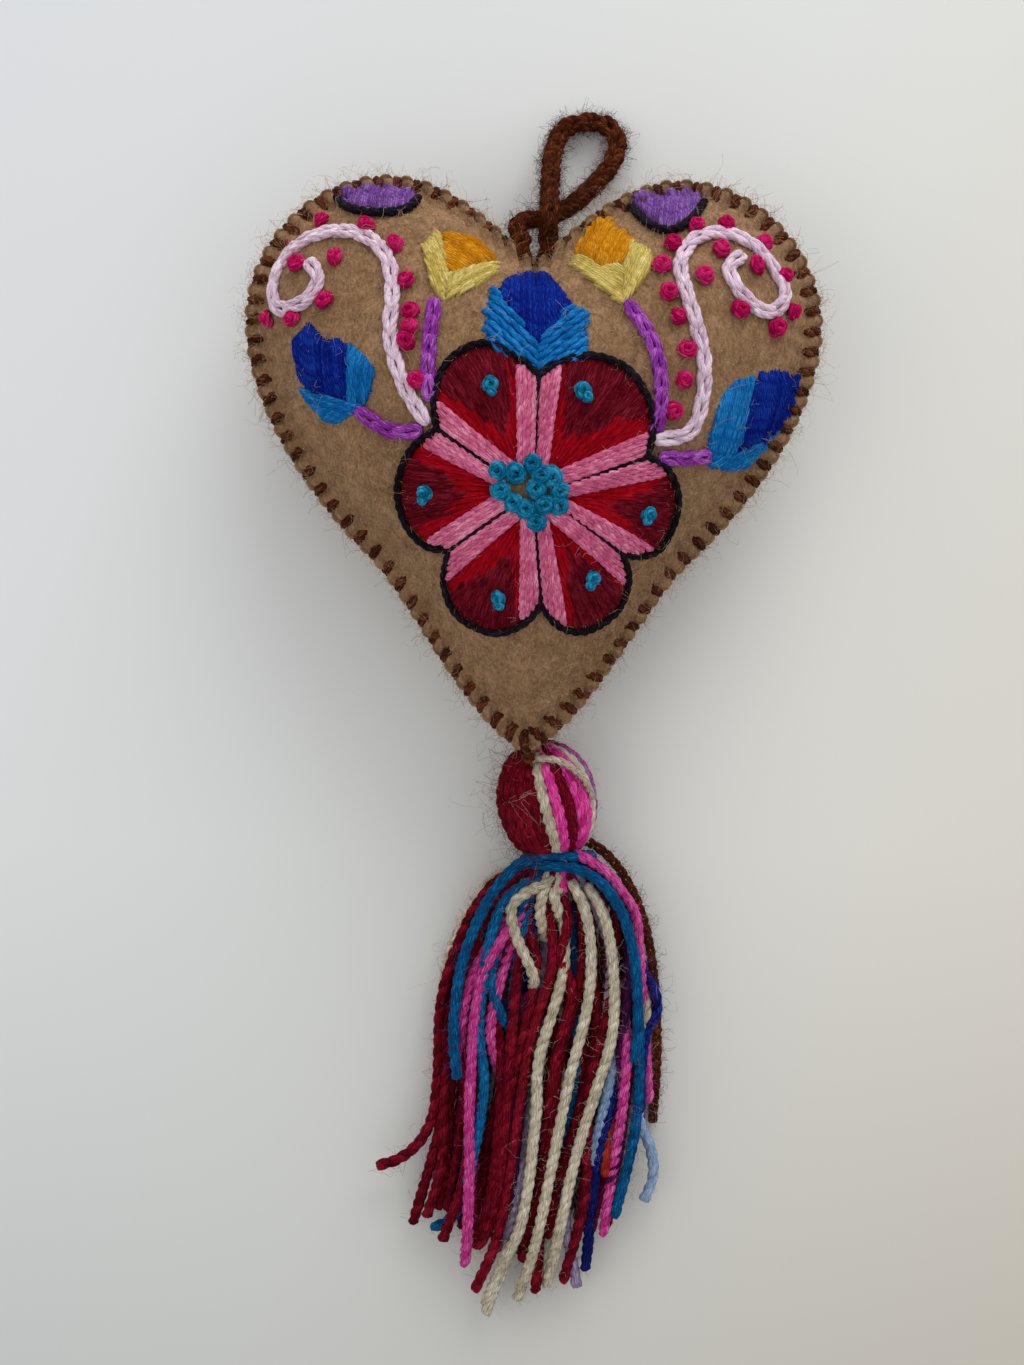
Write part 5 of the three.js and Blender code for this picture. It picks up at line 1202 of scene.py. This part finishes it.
def hairs_over(piece, count, reach, raised, rng):
    """Hairs rooted evenly over the outer faces of a felt panel, raised by a share of their length."""
    faces = piece.data.polygons
    area, spots, ways = np.empty(len(faces)), np.empty(3 * len(faces)), np.empty(3 * len(faces))
    faces.foreach_get("area", area)
    faces.foreach_get("center", spots)
    faces.foreach_get("normal", ways)
    spots, ways = spots.reshape(-1, 3), ways.reshape(-1, 3)
    middle = np.array([0, -5 * MM, SEAM_Z * MM])
    area = area * (((spots - middle) * ways).sum(axis=1) > 0)
    stitched_over = [tree_of(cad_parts[node]) for node in STITCHED_NODES]
    hairs = []
    for n in rng.choice(len(faces), count, p=area / area.sum()):
        above = Vector(spots[n] + 20 * MM * ways[n])
        if any(tree.ray_cast(above, Vector(-ways[n]), 22 * MM)[0] for tree in stitched_over):
            continue
        lean = rng.normal(0, 1, 3)
        way = unit(lean - ways[n] * lean.dot(ways[n])) + raised * ways[n]
        hairs += loose_fibres([spots[n] + 0.04 * MM * ways[n]], [unit(way)], reach, 0.075, rng)
    return hairs


rng = np.random.default_rng(50)
front_hairs = spun("front_felt_hairs", hairs_over(front_felt, 7800, 2.3, 0.25, rng), [felt_hair])
rim_hairs = []
for n in rng.choice(sectors, 800):
    root = np.array([*(rim[n] + 0.3 * rim_out[n]), SEAM_Z + rng.uniform(-1.6, 1.6)]) * MM
    way = np.array([*rim_out[n], 0]) + rng.normal(0, 0.6, 3)
    rim_hairs += loose_fibres([root], [unit(way)], 2.1, 0.05, rng, curled=0.8)
rim_hairs += hairs_over(back_felt, 2300, 2.2, 0.4, rng)
back_hairs = spun("rim_and_back_felt_hairs", rim_hairs, [felt_hair])
for piece in (front_hairs, back_hairs):
    dressed(piece, "heart")

# Table and light
# A plain pale tabletop, cool towards its far left, warm towards the near right and darkened in front by
# painted shade, under one wide soft window beyond the loop and even light from all round.
bpy.ops.mesh.primitive_plane_add(size=4, location=(0, 0, -0.3 * MM))
table = bpy.context.object
table.name = "table"
bpy.ops.object.transform_apply(location=True)
painted = bpy.data.materials.new("matt painted board")
painted.use_nodes = True
place = add_node(painted, "ShaderNodeTexCoord")
parts = add_node(painted, "ShaderNodeSeparateXYZ", links={"Vector": place.outputs["Object"]})
rightward = add_node(painted, "ShaderNodeMath", {1: 3.5}, {0: parts.outputs["X"]}, operation="MULTIPLY")
nearward = add_node(painted, "ShaderNodeMath", {1: -1.5, 2: 0.42}, {0: parts.outputs["Y"]},
                    operation="MULTIPLY_ADD")
towards = add_node(painted, "ShaderNodeMath",
                   links={0: rightward.outputs["Value"], 1: nearward.outputs["Value"]},
                   operation="ADD", use_clamp=True)
paint = add_node(painted, "ShaderNodeValToRGB", links={"Fac": towards.outputs["Value"]})
# Painted shade: the near part of the tabletop is darkened to 0.76 of its colour
painted_near_shade = add_node(painted, "ShaderNodeMapRange", {"From Min": -0.2, "From Max": -0.08, "To Min": 0.76},
                     {"Value": parts.outputs["Y"]})
shaded = add_node(painted, "ShaderNodeMix", {"Factor": 1.0},
                  {"A": paint.outputs["Color"], "B": painted_near_shade.outputs["Result"]},
                  data_type="RGBA", blend_type="MULTIPLY")
paint.color_ramp.elements[0].color = linear("#e1e3e5")
paint.color_ramp.elements[1].color = linear("#dfd9cd")
paint.color_ramp.elements.new(0.5).color = linear("#e4e5e2")
table_shader = painted.node_tree.nodes["Principled BSDF"]
table_shader.inputs["Roughness"].default_value = 0.9
table_shader.inputs["Specular IOR Level"].default_value = 0.1
painted.node_tree.links.new(shaded.outputs[2], table_shader.inputs["Base Color"])
table.data.materials.append(painted)
table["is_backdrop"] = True

world = bpy.data.worlds.new("room")
bpy.context.scene.world = world
world.use_nodes = True
world.node_tree.nodes["Background"].inputs["Color"].default_value = linear("#f4f6f8")
world.node_tree.nodes["Background"].inputs["Strength"].default_value = 0.72
for name, place, size, power, colour in (("window", (0.27, 0.84, 0.36), 0.75, 6.4, "#ffffff"),
                                         ("lamp", (-0.5, -0.1, 0.6), 0.5, 0.5, "#fff2e2")):
    light = bpy.data.lights.new(name, "AREA")
    light.size = size
    light.energy = power
    light.color = linear(colour)[:3]
    lamp = bpy.data.objects.new(name, light)
    lamp.location = place
    lamp.rotation_euler = (Vector((0, -0.03, 0)) - Vector(place)).to_track_quat("-Z", "Y").to_euler()
    bpy.context.collection.objects.link(lamp)
bpy.context.scene.view_settings.view_transform = "Standard"

low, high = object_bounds()
